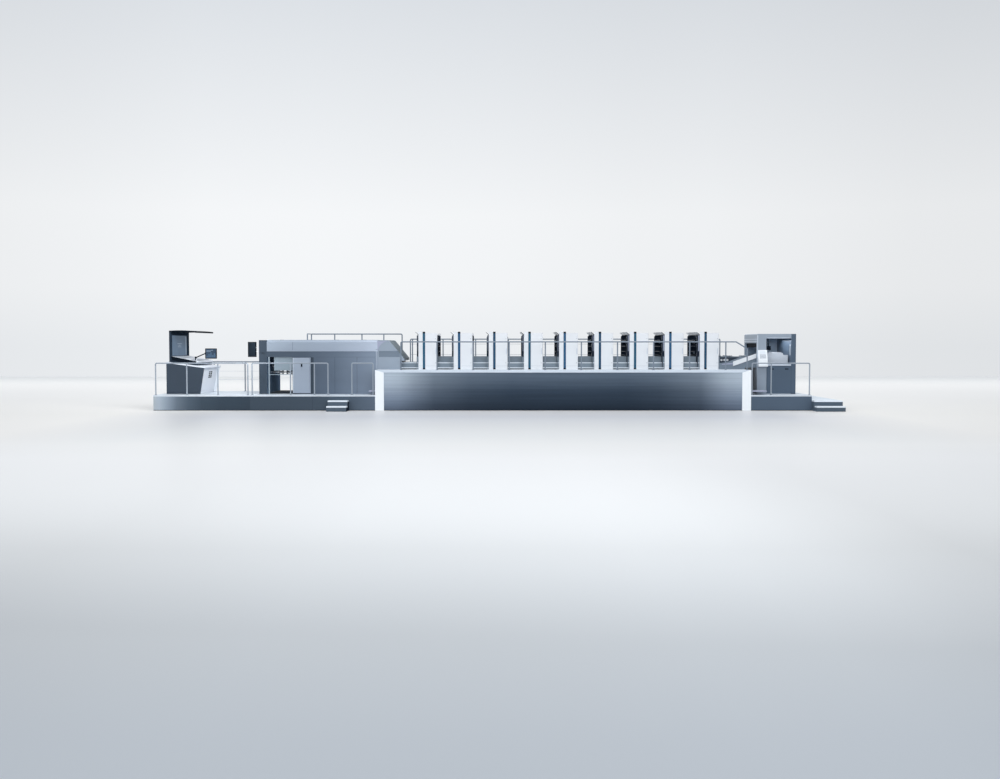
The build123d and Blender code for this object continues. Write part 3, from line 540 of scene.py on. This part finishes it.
class Piece:
    """A mesh gathered from many small forms, with one finish and one bevel, which rides on one body."""

    def __init__(self, name, finish, bevel=0.0, body=PRESS):
        self.name, self.finish, self.bevel, self.body = name, finish, bevel, body
        self.slot = next(slot for slot, finishes in SLOTS.items() if finish in finishes)
        self.mesh = bmesh.new()
        PIECES.append(self)

    def box(self, x, y, z):
        """A box between two values on each axis."""
        low = Vector((min(x), min(y), min(z)))
        high = Vector((max(x), max(y), max(z)))
        self.tile((low + high) / 2, Matrix(), high - low)

    def tile(self, centre, turn, size):
        """A box about a centre, turned."""
        matrix = Matrix.Translation(centre) @ turn @ Matrix.Diagonal((*size, 1.0))
        bmesh.ops.create_cube(self.mesh, size=1.0, matrix=matrix)

    def front(self, x, face, z, out=JOINT):
        """A plate that stands out from a face that looks to the front."""
        self.box(x, (face - out, face), z)

    def rod(self, start, end, radius, sides, tip=None):
        """A round bar between two points, tapered where tip is given."""
        start, end = Vector(start), Vector(end)
        turn = (end - start).to_track_quat("Z", "Y").to_matrix().to_4x4()
        place = Matrix.Translation((start + end) / 2) @ turn
        bmesh.ops.create_cone(self.mesh, cap_ends=True, segments=sides, radius1=radius,
                              radius2=tip or radius, depth=(end - start).length, matrix=place)

    def stud(self, foot, reach, radius, sides):
        """A round bar from a foot, as long as reach."""
        self.rod(foot, Vector(foot) + Vector(reach), radius, sides)

    def prism(self, outline, ends):
        """An outline in X and Z, carried along Y between two values."""
        near, far = ([self.mesh.verts.new((x, y, z)) for x, z in outline] for y in ends)
        self.mesh.faces.new(near)
        self.mesh.faces.new(far[::-1])
        for i in range(len(outline)):
            j = (i + 1) % len(outline)
            self.mesh.faces.new((near[i], far[i], far[j], near[j]))

    def place(self):
        """Make the object, with its edges softened by the bevel, and set it on its body."""
        bmesh.ops.recalc_face_normals(self.mesh, faces=self.mesh.faces)
        data = bpy.data.meshes.new(self.name)
        self.mesh.to_mesh(data)
        self.mesh.free()
        data.materials.append(self.finish)
        data.shade_smooth()
        data.set_sharp_from_angle(angle=SHARP_ANGLE)
        piece = scene_object(self.name, data)
        if self.bevel:
            soft = piece.modifiers.new("soft_edges", "BEVEL")
            soft.width = self.bevel
            soft.segments = 2
            soft.limit_method = "ANGLE"
            soft.angle_limit = SHARP_ANGLE
        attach(piece, self.body)


def about(middle, half):
    """A range that reaches as far to both sides of a middle."""
    return (middle - half, middle + half)


def off(level, first, second):
    """The two places at these distances from a level."""
    return (level + first, level + second)


def even(first, last, count):
    """Evenly spaced values from first to last."""
    return [first + (last - first) * i / (count - 1) for i in range(count)]


def both(near, far, out=JOINT):
    """The ranges of two plates that stand out from a front face and from a back face."""
    return ((near - out, near), (far, far + out))


def level_faces(node, axis, key):
    """The ends along one axis of a node's upward faces, gathered by a key; faces without one are left out."""
    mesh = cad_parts[node].data
    found = {}
    for face in mesh.polygons:
        points = [mesh.vertices[i].co for i in face.vertices]
        place = face.normal.z > FACING and key(face, points)
        if place:
            found.setdefault(place, []).extend(p[axis] for p in points)
    return {place: (min(ends), max(ends)) for place, ends in found.items()}


# Fine detail of the printing units


def stripe_caps():
    """Black end caps on each colour stripe."""
    low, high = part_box("unit_stripes")
    caps = Piece("stripe_caps", black)
    for left, right in STRIPES:
        for z in ((low.z + LIFT, low.z + 0.045), (high.z - 0.055, high.z)):
            caps.box((left - LIFT, right + LIFT), (low.y - LIFT, high.y), z)


def unit_flanks():
    """On each unit: an edge strip, bearing caps with bolts, ink pipes and finger guards on its flanks."""
    strips = Piece("flank_strips", flank_strip_lit_tone, 0.002)
    caps = Piece("bearing_caps", dark, 0.003)
    bolts = Piece("bearing_bolts", steel)
    pipes = Piece("ink_pipes", black)
    bars = Piece("finger_guards", dark)
    cap_radius, cap_depth, bolt_count = 0.062, 0.012, 6
    for (low, high), (cover_left, _) in zip(UNITS, COVERS):
        middle = low.y + HOUSING_DEPTH / 2
        strips.front((low.x + 0.004, cover_left - 0.006), low.y, (low.z + 0.62, high.z - 0.02), 0.008)
        for face, out in ((low.x, -1), (high.x, 1)):
            for rise in (0.50, 0.80, 1.04):
                centre = Vector((face, middle, low.z + rise))
                caps.stud(centre, (out * cap_depth, 0, 0), cap_radius, 32)
                for turn in range(bolt_count):
                    angle = math.tau * turn / bolt_count
                    spoke = Vector((0, math.cos(angle), math.sin(angle))) * (cap_radius - 0.014)
                    bolts.stud(centre + spoke, (out * (cap_depth + 0.006), 0, 0), 0.007, 6)
            for step in (0.17, 0.21):
                pipes.stud((face + out * 0.012, middle + step, low.z + 0.46), (0, 0, 0.62), 0.009, 12)
            for rise in (0.47, 0.60, 0.78):
                start = Vector((face - out * 0.018, low.y + HOUSING_DEPTH, low.z + rise))
                bars.rod(start, (start.x, high.y - REAR_DEPTH, start.z), 0.011, 12)


def ink_keys():
    """A row of adjusting keys along each ink duct."""
    keys = Piece("ink_keys", steel)
    inset = 0.05
    for low, high in UNITS:
        for y in even(low.y + HOUSING_DEPTH + inset, high.y - REAR_DEPTH - inset, 22):
            keys.stud((low.x + 0.008, y, low.z + 0.99), (0.022, 0, 0), 0.012, 10)


def cover_fittings():
    """On each cover: a seam at its foot on both sides of the stripe, two flush locks and a grip."""
    low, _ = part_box("unit_covers")
    seams = Piece("cover_seams", seam_grey)
    locks = Piece("cover_locks", steel, 0.001)
    grips = Piece("cover_grips", pale, 0.004)
    for (left, right), (stripe_left, stripe_right) in zip(COVERS, STRIPES):
        for x in ((stripe_right + 0.012, right - 0.025), (left + 0.025, stripe_left - 0.012)):
            seams.front(x, low.y, off(low.z, 0.115, 0.119))
        for rise in (0.22, 1.04):
            locks.stud((right - 0.055, low.y, low.z + rise), (0, -0.004, 0), 0.013, 24)
        grips.front((right - 0.05, right - 0.032), low.y, off(low.z, 0.52, 0.72), 0.012)


def rear_cover_seams():
    """The plain joints of the drive-side covers."""
    low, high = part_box("unit_rear_covers")
    seams = Piece("rear_cover_seams", seam_grey)
    for left, right in COVERS:
        for z in off(low.z, 0.41, 0.82):
            seams.box((left + 0.02, right - 0.02), (high.y, high.y + JOINT), (z, z + 0.004))


def gap_trim():
    """Between the units: nosing strips on the treads, black toe strips below them, and cheek plates."""
    nosing = Piece("gap_nosing", tread_edge, 0.002)
    toes = Piece("gap_toes", black)
    cheeks = Piece("gap_cheeks", bridge_grey, 0.002)
    low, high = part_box("gap_treads")
    treads = list(zip(spans("gap_treads", 2), (low.y, low.y + (high.y - low.y) / 2)))
    bridge_low, bridge_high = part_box("unit_bridges")
    for (left, right), (cover_left, _), (unit_low, _) in zip(spans("gap_treads"), COVERS, UNITS):
        face = unit_low.y
        for (bottom, top), y in treads:
            z = (bottom + 0.004, top + 0.003)
            nosing.box((left + 0.004, right - 0.004), (y - 0.006, y + 0.022), z)
            nosing.box((right - 0.004, cover_left - 0.004), (face - 0.012, face - 0.008), z)
        z = (unit_low.z + LIFT, bridge_high.z)
        cheeks.front((right - 0.003, cover_left - 0.004), face, z, 0.008)
        cheeks.box((right - 0.003, right), (face, bridge_low.y), z)
        toes.box((left + LIFT, right - LIFT), off(low.y, -0.012, -0.001),
                 (low.z - 0.035 + LIFT, low.z - 0.004))


# Fine detail of the rails, platform and steps


def rail_feet():
    """A flange with four bolts at the foot of each post."""
    flanges = Piece("post_flanges", rail_tube, 0.002)
    bolts = Piece("post_bolts", steel)
    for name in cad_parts:
        if not name.startswith("rail_") or name == "rail_roof":
            continue
        for foot in feet(name):
            flanges.stud(foot, (0, 0, 0.010), 0.044, 28)
            for turn in range(4):
                angle = math.tau * (turn + 0.5) / 4
                spoke = Vector((math.cos(angle), math.sin(angle), 0)) * 0.033
                bolts.stud(foot + spoke, (0, 0, 0.016), 0.006, 6)


def step_nosing():
    """Bright edge strips on the flights' treads and the kick steps."""
    nosing = Piece("step_nosing", tread_edge, 0.001)
    apart = 6
    edges = level_faces("step_treads", 0, lambda face, points: (
        round(min(p.z for p in points), 3), round(min(p.y for p in points), 3),
        round(sum(p.x for p in points) / len(points) / apart)))
    for (z, y, _), (left, right) in edges.items():
        nosing.box((left + 0.01, right - 0.01), (y + 0.004, y + 0.034), (z - 0.004, z + 0.003))


def plinth_trim():
    """A black strip of painted shadow at the floor under the plinths and gallery, and the joints of the plinth
    sheets.
    """
    # Painted shadow: black strips at the feet of the plinths and gallery
    gaps = Piece("plinth_shadow_gap", black)
    for name in ("console_plinth", "delivery_plinth", "feeder_plinth", "gallery_panel"):
        low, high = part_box(name)
        gaps.front((low.x + LIFT, high.x - LIFT), low.y, off(low.z, 0.001, 0.018), LIFT)
    seams = Piece("plinth_seams", seam_dark)
    low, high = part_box("console_plinth")
    delivery_low, delivery_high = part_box("delivery_plinth")
    for x in (high.x, (low.x + high.x) / 2, (delivery_low.x + delivery_high.x) / 2):
        seams.front(about(x, 0.004), low.y, (low.z + 0.02, high.z - 0.004))


# Fine detail of the delivery


def delivery_trim():
    """Joints, the post between body and hood, a dark plate of painted shade for the recess by the door, and
    roof hatches.
    """
    body_low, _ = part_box("delivery_body")
    cover_low, cover_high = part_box("delivery_top_cover")
    hood_low, hood_high = hood_box
    door_low, door_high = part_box("delivery_door")
    face, back = hood_low.y, hood_high.y
    cover_joint = (door_low.x - 0.012,)
    body_joints = (-5.47, -4.72)
    seams = Piece("delivery_seams", seam_dark)
    for places, z in ((cover_joint, (cover_low.z + 0.05, cover_high.z - 0.075)),
                      (body_joints, (body_low.z + 0.02, cover_low.z - 0.19))):
        for x in places:
            for y in both(face, back):
                seams.box(about(x, 0.003), y, z)
    for y in both(face, back):
        seams.box((door_high.x + 0.16, hood_low.x - 0.06), y, off(cover_low.z, -0.194, -0.19))
    posts = Piece("delivery_joint_posts", light, 0.004)
    for y in both(face, back, 0.014):
        posts.box(off(hood_low.x, -0.062, -0.006), y, (hood_low.z + 0.012, cover_low.z + 0.08))
    # Painted shade: a dark plate stands for the shaded recess beside the door
    recess = Piece("door_side_shade_plate", plinth_slate)
    recess.front(off(door_high.x, 0.012, 0.10), face, (door_low.z - 0.01, door_high.z + 0.01), 0.003)
    hatches = Piece("roof_hatches", light, 0.004)
    grips = Piece("roof_grips", black, 0.002)
    count, edge, rear_strip = 4, 0.12, 0.16
    roof, hatch_top = cover_high.z, cover_high.z + 0.008
    width = (cover_high.x - cover_low.x) / count
    for i in range(count):
        left = cover_low.x + width * i
        hatches.box((left + 0.03, left + width - 0.03),
                    (cover_low.y + edge, cover_high.y - edge - rear_strip), (roof, hatch_top))
        for y in (cover_low.y + edge + 0.12, cover_high.y - edge - 0.28):
            grips.box(about(left + width / 2, 0.07), about(y, 0.012), (hatch_top, roof + 0.012))


def door_trim():
    """The door's pale edge line and black latch."""
    low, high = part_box("delivery_door")
    edge = Piece("door_edge", pale, 0.002, DOOR)
    edge.front((low.x, low.x + 0.022), low.y, (low.z + LIFT, high.z - LIFT), 0.004)
    latch = Piece("door_latch", black, 0.004, DOOR)
    x, z = low.x + 0.30, high.z - 0.25
    latch.front(about(x, 0.024), low.y, about(z, 0.06), 0.008)
    latch.rod((x, low.y, z + 0.024), (x, low.y - 0.034, z + 0.024), 0.016, 24)
    latch.box(about(x, 0.010), off(low.y, -0.034, -0.022), (z - 0.05, z + 0.03))


def hood_plates():
    """The top cover's end, a quarter circle on the hood's sides, and painted shade for the slot at the hood's
    foot.
    """
    low, high = hood_box
    radius, steps, left, top = 0.36, 24, low.x - 0.004, high.z - 0.035
    centre = Vector((low.x + 0.37, 0, top - radius))
    angles = [math.pi / 2 + math.pi / 2 * i / steps for i in range(steps + 1)]
    arc = [(centre.x + radius * math.cos(angle), centre.z + radius * math.sin(angle)) for angle in angles]
    plates = Piece("hood_end_plates", lilac)
    for y in both(low.y, high.y, 0.006):
        plates.prism([(left, top), *arc, (left, centre.z)], y)
    # Painted shade: a black strip stands for the slot at the hood's foot
    slots = Piece("hood_slot_shade", black)
    slots.box(off(high.x, -0.012, 0.001), (low.y + 0.2, high.y - 0.2), off(high.z, -0.655, -0.635))


def delivery_mechanism():
    """Gripper chain rails, blower pipes and sheet brakes over the pile, and lines in the curtain."""
    low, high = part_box("delivery_curtain")
    shaft_low, shaft_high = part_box("delivery_gripper_shaft")
    rails = Piece("chain_rails", steel)
    blowers = Piece("blower_pipes", black)
    brakes = Piece("sheet_brakes", dark, 0.003)
    left, right = shaft_low.x + 0.02, shaft_high.x - 0.02
    for y in off(shaft_low.y, 0.35, 1.15):
        rails.box((left, right), (y, y + 0.03), off(shaft_high.z, 0.12, 0.17))
    for back in (0.25, 0.55, 0.85, 1.05):
        y, z = shaft_low.y + back, shaft_high.z + 0.30
        blowers.rod((left, y, z), (right, y, z), 0.016, 14)
    for i in range(5):
        x = shaft_low.x + 0.10 + 0.15 * i
        brakes.box((x, x + 0.05), off(shaft_low.y, 0.10, 0.16), (shaft_low.z - 0.02, shaft_high.z + 0.12))
    lines = Piece("curtain_lines", seam_grey)
    for share in (0.28, 0.94):
        x = low.x + (high.x - low.x) * (0.27 + 0.73 * share)
        lines.box(about(x, 0.003), off(low.y, 0.048, 0.05), off(high.z, -0.44, -0.01))


def display_pane():
    """The end display's glass."""
    low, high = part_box("delivery_display")
    glass = Piece("display_glass", glass_black, 0.001)
    glass.front((low.x + 0.018, low.x + DISPLAY_WIDTH - 0.018), low.y, (low.z + 0.02, high.z - 0.02), 0.003)


# Fine detail of the feeder and feed table


def feeder_trim():
    """Ledge, lintel ridges, edge posts, joints and grips on the feeder, and a black plate of painted shade in
    its entry.
    """
    low, high = feeder_box
    panel_low, panel_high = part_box("feeder_panels")
    column_low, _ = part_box("feeder_column")
    pillar_right, sill = low.x + 0.33, panel_high.z
    ledge = Piece("feeder_ledge", pale, 0.006)
    ledge.front((pillar_right, high.x - 0.012), low.y, off(sill, 0.006, 0.052), 0.035)
    ridges = Piece("feeder_ridges", pale, 0.003)
    for z in off(high.z, -0.19, -0.27):
        ridges.box((low.x - 0.008, low.x), (low.y + 0.03, high.y - 0.03), (z, z + 0.022))
    ridges.front((pillar_right, high.x - 0.05), low.y, off(high.z, -0.145, -0.125), 0.008)
    posts = Piece("feeder_edge_posts", pale, 0.002)
    posts.front(off(low.x, -0.003, 0.028), low.y, (sill + 0.30, high.z - 0.05), 0.005)
    posts.box(off(high.x, -0.032, -0.008), off(low.y, 0.062, 0.082), (sill + 0.36, high.z - 0.36))
    seams = Piece("feeder_seams", seam_dark)
    seams.front(off(low.x, 0.03, 0.29), low.y, off(sill, -0.05, -0.045))
    seams.box(off(column_low.x, -0.002, 0.003), off(column_low.y, -0.0155, -0.014), (panel_low.z, sill))
    grips = Piece("feeder_panel_grips", black, 0.003)
    for x in (panel_low.x + 0.12, panel_high.x - 0.32):
        grips.front((x, x + 0.12), panel_low.y, off(sill, -0.12, -0.09), 0.008)
    # Painted shade: a black plate darkens the top of the feeder's entry
    guard = Piece("entry_shade_plate", black, 0.003)
    guard.box(off(low.x, 0.06, 0.075), (low.y + 0.13, high.y - 0.13), off(high.z, -0.46, -0.25))


def suction_gear():
    """Suckers under the suction head, their lift rods, and air hoses above it."""
    low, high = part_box("feeder_suction_head")
    block_top, sucker_top = low.z + 0.135, low.z - 0.03
    suckers = Piece("suckers", rubber_dark)
    rods = Piece("lift_rods", steel)
    hoses = Piece("air_hoses", black)
    left, right = low.x + 0.05, high.x - 0.05
    for y in even(low.y + 0.12, high.y - 0.12, 6):
        for x in (left, right):
            rods.rod((x, y, sucker_top), (x, y, low.z), 0.008, 12)
            suckers.rod((x, y, low.z - 0.052), (x, y, sucker_top), 0.024, 20, 0.012)
        hoses.rod((right, y, block_top), (right, y, high.z - 0.01), 0.011, 12)


def pile_sheets():
    """The uneven upper sheets of the pile, and sheet corners that stand up at its front edge."""
    low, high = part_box("feeder_pile")
    sheets = Piece("loose_sheets", paper)
    right = high.x - 0.17
    for i in range(7):
        z = high.z + 0.004 * i
        slip = random.uniform(-0.012, 0.012)
        inset = random.uniform(0.0, 0.03)
        sheets.box((low.x + 0.02 + inset, right - 0.01 - inset * 2),
                   (low.y + 0.03 + slip, high.y - 0.03 + slip), (z, z + 0.003))
    for i in range(9):
        x = low.x + 0.06 + 0.052 * i
        rise = random.uniform(0.006, 0.026)
        sheets.box((x, x + 0.022), off(low.y, 0.004, 0.05), (high.z, high.z + rise))


def control_panel():
    """Keys and a pale display on the feeder's sloping panel."""
    low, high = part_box("feeder_control_panel")
    top = Vector((0, high.y - 0.04, high.z))
    knee = Vector((0, high.y - 0.15, high.z - 0.335))
    along = (knee - top).normalized()
    out = Vector((0, along.z, -along.y))
    turn = Matrix(((1, 0, 0), (0, along.y, out.y), (0, along.z, out.z))).to_4x4()
    middle = (low.x + high.x) / 2

    def put(piece, x, down, size):
        place = top + along * down + out * (size[2] / 2)
        piece.tile((x, place.y, place.z), turn, size)

    pane = Piece("feeder_pane", screen_pale)
    put(pane, middle, 0.085, (0.20, 0.10, 0.004))
    keys = Piece("feeder_keys", key_grey, 0.002)
    for row in range(4):
        for column in range(6):
            put(keys, middle - 0.09 + 0.036 * column, 0.17 + 0.037 * row, (0.026, 0.020, 0.006))


def feed_trim():
    """Painted shade on the feed table's open side, roller ends and a path rail, and belts, rods and wheels on
    top.
    """
    low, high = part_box("feed_table")
    board_low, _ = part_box("feed_board")
    top, left = high.z - 0.008, low.x + 0.03
    # Painted shade: a thin dark plate on the side stands for the hollow under the table top
    hollow = Piece("feed_side_painted_shade", dark)
    hollow.prism([(left, top), (low.x + 0.72, top), (low.x + 0.30, top - 0.16), (left, top - 0.20)],
                 (low.y - 0.003, low.y))
    ends = Piece("feed_roller_ends", steel, 0.003)
    for x in (0.09, 0.19, 0.29):
        ends.stud((low.x + x, low.y, top - 0.095), (0, -0.016, 0), 0.038, 28)
    path = Piece("feed_path_rail", lilac)
    start, end = low.x + 0.10, board_low.x + 0.02
    path.prism([(start, top - 0.23), (end, board_low.z + 0.115), (end, board_low.z + 0.06),
                (start, top - 0.255)], off(low.y, -0.012, -0.003))
    belts = Piece("feed_belts", rubber_dark)
    lanes = even(low.y + 0.25, high.y - 0.25, 6)
    for y in lanes:
        belts.box((left, high.x - 0.03), about(y, 0.02), (high.z, high.z + 0.004))
    rods = Piece("feed_rods", steel)
    wheels = Piece("feed_wheels", rubber_dark)
    for x in (start, low.x + 0.48, high.x - 0.20):
        rods.rod((x, low.y + 0.06, high.z + 0.022), (x, high.y - 0.06, high.z + 0.022), 0.014, 16)
        for y in lanes:
            wheels.rod((x, y - 0.012, high.z + 0.026), (x, y + 0.012, high.z + 0.026), 0.022, 20)


# Fine detail of the console


def wall_screen():
    """The wall screen's pane with generic graphics, lit from inside."""
    low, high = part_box("console_screen")
    pane_face = low.x + 0.056
    pane = Piece("wall_pane", screen_blue)
    near, far = low.y + 0.16, high.y - 0.30
    bottom, top = high.z - 0.80, high.z - 0.11
    pane.box((pane_face - 0.004, pane_face), (near, far), (bottom, top))
    marks = Piece("wall_marks", mark_white)
    mark = (pane_face, pane_face + 0.0008)
    for i, share in enumerate((0.52, 0.30, 0.42)):
        z = (bottom + top) / 2 + 0.06 - 0.055 * i
        marks.box(mark, about((near + far) / 2, share * 0.45), (z, z + 0.014))
    marks.box(mark, (far - 0.10, far - 0.03), (bottom + 0.03, top - 0.03))


def desk_gear():
    """On the desk: a dark plate of painted shade on its front side, a pad with two rows of keys and a rest
    strip.
    """
    low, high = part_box("console_desk")
    slope = math.atan2(DESK_FALL, DESK_RUN)
    lead = Vector((math.cos(slope), 0, -math.sin(slope)))
    up = Vector((math.sin(slope), 0, math.cos(slope)))
    start = Vector((low.x, 0, low.z + DESK_FALL + DESK_EDGE))
    turn = Matrix(((lead.x, 0, up.x), (0, 1, 0), (lead.z, 0, up.z))).to_4x4()

    def put(piece, along, y, size):
        place = start + lead * along + up * (size[2] / 2)
        piece.tile((place.x, y, place.z), turn, size)

    # Painted shade: the black plate stands for the shadow in the gap under the desk's edge
    cheek = Piece("desk_shade_plate", black, 0.002)
    upper = [start + lead * along for along in (0.03, 0.60)]
    cheek.prism([(p.x, p.z - 0.012) for p in upper] + [(p.x, p.z - 0.125) for p in upper[::-1]],
                (low.y - 0.006, low.y))
    keys = Piece("desk_keys", key_grey, 0.002)
    pad = Piece("desk_pad", pale)
    near, far = low.y + 0.16, high.y - 0.16
    put(pad, 0.70, (near + far) / 2, (0.13, far - near + 0.06, 0.003))
    for y in even(near, far, 32):
        for row in range(2):
            put(keys, 0.672 + 0.052 * row, y, (0.034, 0.036, 0.010))
    rest = Piece("desk_rest", steel, 0.003)
    put(rest, 0.795, (low.y + high.y) / 2, (0.016, high.y - low.y - 0.08, 0.012))


def monitor_face():
    """The swivelling monitor's pane with generic bars, and the back's cable cover."""
    low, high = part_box("console_monitor")
    edge, glass = 0.022, low.y - 0.003
    left = low.x + 0.045
    pane = Piece("monitor_pane", screen_dim, body=MONITOR)
    pane.box((low.x + edge, high.x - edge), (glass, low.y), (low.z + edge, high.z - edge))
    blue = Piece("monitor_field", mark_blue, body=MONITOR)
    for i in range(5):
        x = left + 0.062 * i
        blue.front((x, x + 0.050), glass, (low.z + 0.05, low.z + 0.10 + 0.028 * ((i * 2) % 5)), 0.001)
    marks = Piece("monitor_marks", mark_white, body=MONITOR)
    marks.front((left, high.x - 0.12), glass, off(high.z, -0.075, -0.063), 0.001)
    marks.front((left, high.x - 0.20), glass, off(high.z, -0.11, -0.10), 0.001)
    back = Piece("monitor_back", black, 0.006, MONITOR)
    back.box((low.x + 0.06, high.x - 0.06), (high.y, high.y + 0.014), (low.z + 0.06, high.z - 0.10))


def vent_shade_lips():
    """A black lip of painted shade under each slot of the vents in the console's front."""
    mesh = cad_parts["console_front"].data
    front = next(face for face in mesh.polygons if face.normal.x > LEANING and by_vents(face.center) and
                 face.normal.dot(face.center) > front_reach - 0.001)
    # Painted shade under each vent slot
    lips = Piece("vent_shade_lips", black)
    reach, depth = 0.008, 0.014
    slots = level_faces("console_front", 1, lambda face, points: by_vents(face.center) and (
        round(points[0].z, 3), face.center.y > vents_near + VENT_WIDTH / 2))
    for (z, _), ends in slots.items():
        outline = []
        for level, out in ((z, 0.0), (z, reach), (z - depth, reach), (z - depth, 0.0)):
            outline.append(((front_reach - front.normal.z * level) / front.normal.x + out, level))
        lips.prism(outline, ends)


def console_seams():
    """The joints near the foot of the console's side panels."""
    low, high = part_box("console_base")
    seams = Piece("console_seams", black)
    for y in both(low.y, high.y):
        seams.box((low.x + 0.02, high.x - 0.18), y, off(low.z, 0.060, 0.065))


for add in (stripe_caps, unit_flanks, ink_keys, cover_fittings, rear_cover_seams, gap_trim, rail_feet,
            step_nosing, plinth_trim, delivery_trim, door_trim, hood_plates, delivery_mechanism, display_pane,
            feeder_trim, suction_gear, pile_sheets, control_panel, feed_trim, wall_screen, desk_gear,
            monitor_face, vent_shade_lips, console_seams):
    add()
for piece in PIECES:
    piece.place()


# Stage, light and camera


def floor():
    """A pale floor with a painted shadow close before the press, painted shade to the front and a painted pool
    of light.
    """
    s = Surface("studio_floor", 0.4, shine=0.15)
    depth = s.axis("Y", SHADE_FRONT, FLOOR_BACK)
    # Painted shade: the floor darker towards the front
    near = [(0.0, (211, 217, 223)), (0.03, (212, 217, 222)), (0.06, (222, 225, 227)), (0.11, (211, 213, 214)),
            (0.24, (226, 226, 226))]
    far = [(0.60, (246, 244, 241)), (0.75, (250, 248, 245)), (1.0, (255, 255, 253))]
    clear = s.ramp(depth, tones(*near, (0.31, (226, 224, 221)), (0.43, (230, 228, 224)), *far))
    # Painted shadow of the press on the floor close before it
    shaded = s.ramp(depth, tones(*near, (0.28, (224, 224, 223)), (0.31, (217, 218, 218)),
                                 (0.36, (207, 208, 209)), (0.41, (200, 202, 207)),
                                 (0.50, (234, 232, 229)), *far))
    press_shadow_span = s.ramp(s.axis("X", -SHADE_HALF, SHADE_HALF),
                    levels((0.0, 0.0), (0.14, 1.0), (0.86, 1.0), (1.0, 0.0)))
    # A painted pool of light before the press, strongest a little right of the middle
    pool = s.ramp(s.axis("X", -POOL_HALF, POOL_HALF), levels(
        (0.0, 0.85), (0.18, 0.88), (0.29, 0.96), (0.38, 1.03), (0.5, 1.06), (0.61, 1.1), (0.68, 1.08),
        (0.74, 1.01), (0.79, 0.92), (0.86, 0.82), (1.0, 0.84)))
    reach = s.ramp(depth, levels((0.0, 0.3), (0.05, 0.85), (0.09, 1.0), (0.12, 0.95), (0.165, 0.65),
                                 (0.215, 0.35), (0.28, 0.0)))
    s.colour(s.multiply(s.mix(press_shadow_span, clear, shaded), s.mix(reach, grey(1.0), pool)))
    s.roughness(s.cloud(s.noise(0.12, 2.0), 0.40, 0.44))
    data = bpy.data.meshes.new("studio_floor")
    corners = [(-FLOOR_SIDE, FLOOR_FRONT, 0), (FLOOR_SIDE, FLOOR_FRONT, 0), (FLOOR_SIDE, FLOOR_BACK, 0),
               (-FLOOR_SIDE, FLOOR_BACK, 0)]
    data.from_pydata(corners, [], [(0, 1, 2, 3)])
    data.materials.append(s.material)
    piece = scene_object("studio_floor", data)
    piece.location.z = -0.001


def sky():
    """Soft white light all round, brightest near the horizon and a little left of the middle."""
    world = bpy.data.worlds.new("studio_sky")
    bpy.context.scene.world = world
    world.use_nodes = True
    g = Graph(world.node_tree, "Generated")
    rise = g.ramp(g.axis("Z", 0.0, 1.0), tones((0.0, (235, 238, 241)), (0.05, (242, 244, 246)),
                                               (0.12, (243, 245, 247)), (0.34, (214, 219, 225))))
    sides = g.ramp(g.axis("X", -SKY_HALF, SKY_HALF), levels(
        (0.0, 1.0), (0.14, 0.975), (0.2, 1.0), (0.28, 1.045), (0.36, 1.05), (0.5, 1.03), (0.6, 1.0),
        (0.66, 0.995), (0.73, 0.965), (0.8, 0.93), (0.87, 0.92), (1.0, 1.0)))
    background = g.nodes["Background"]
    g.link(g.multiply(rise, sides), background.inputs["Color"])
    background.inputs["Strength"].default_value = SKY_STRENGTH


def lamp(name, place, target, size, power, spread=180):
    """A soft rectangular light, aimed at a point, whose beam is as wide as spread in degrees."""
    data = bpy.data.lights.new(name, "AREA")
    data.shape = "RECTANGLE"
    data.size, data.size_y = size
    data.energy = power
    data.spread = math.radians(spread)
    piece = scene_object(name, data)
    piece.location = place
    piece.rotation_euler = (Vector(target) - Vector(place)).to_track_quat("-Z", "Y").to_euler()


def camera():
    """The photograph's view: level with the gallery rails, far off and square to the front."""
    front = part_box("delivery_plinth")[0].y
    data = bpy.data.cameras.new("photo_camera")
    data.sensor_width = SENSOR_WIDTH
    data.lens = FOCAL_PIXELS / IMAGE_WIDTH * SENSOR_WIDTH
    piece = scene_object("photo_camera", data)
    piece.location = (CAMERA_X, front - CAMERA_DISTANCE, CAMERA_HEIGHT)
    pitch = math.atan2(IMAGE_HEIGHT / 2 - HORIZON_ROW, FOCAL_PIXELS)
    piece.rotation_euler = (math.radians(90) - pitch, 0, 0)
    bpy.context.scene.camera = piece


floor()
sky()
lamp("overhead_light", (0, -4, 14), (0, 0, 0), (30, 12), 1500)
lamp("front_light", (-2, -26, 9), (0, 0, 1.2), (26, 8), 1550)
lamp("back_light", (0, 22, 12), (0, 18, 0), (90, 12), 2150)
lamp("console_fill", (-6.8, -3.6, 3.4), (-10.2, -0.3, 1.1), (1.6, 1.6), 21, 70)
lamp("feeder_light", (9.66, -0.3, 2.33), (9.66, -0.3, 0.0), (0.5, 1.2), 11)
camera()
bpy.context.scene.view_settings.view_transform = "Standard"
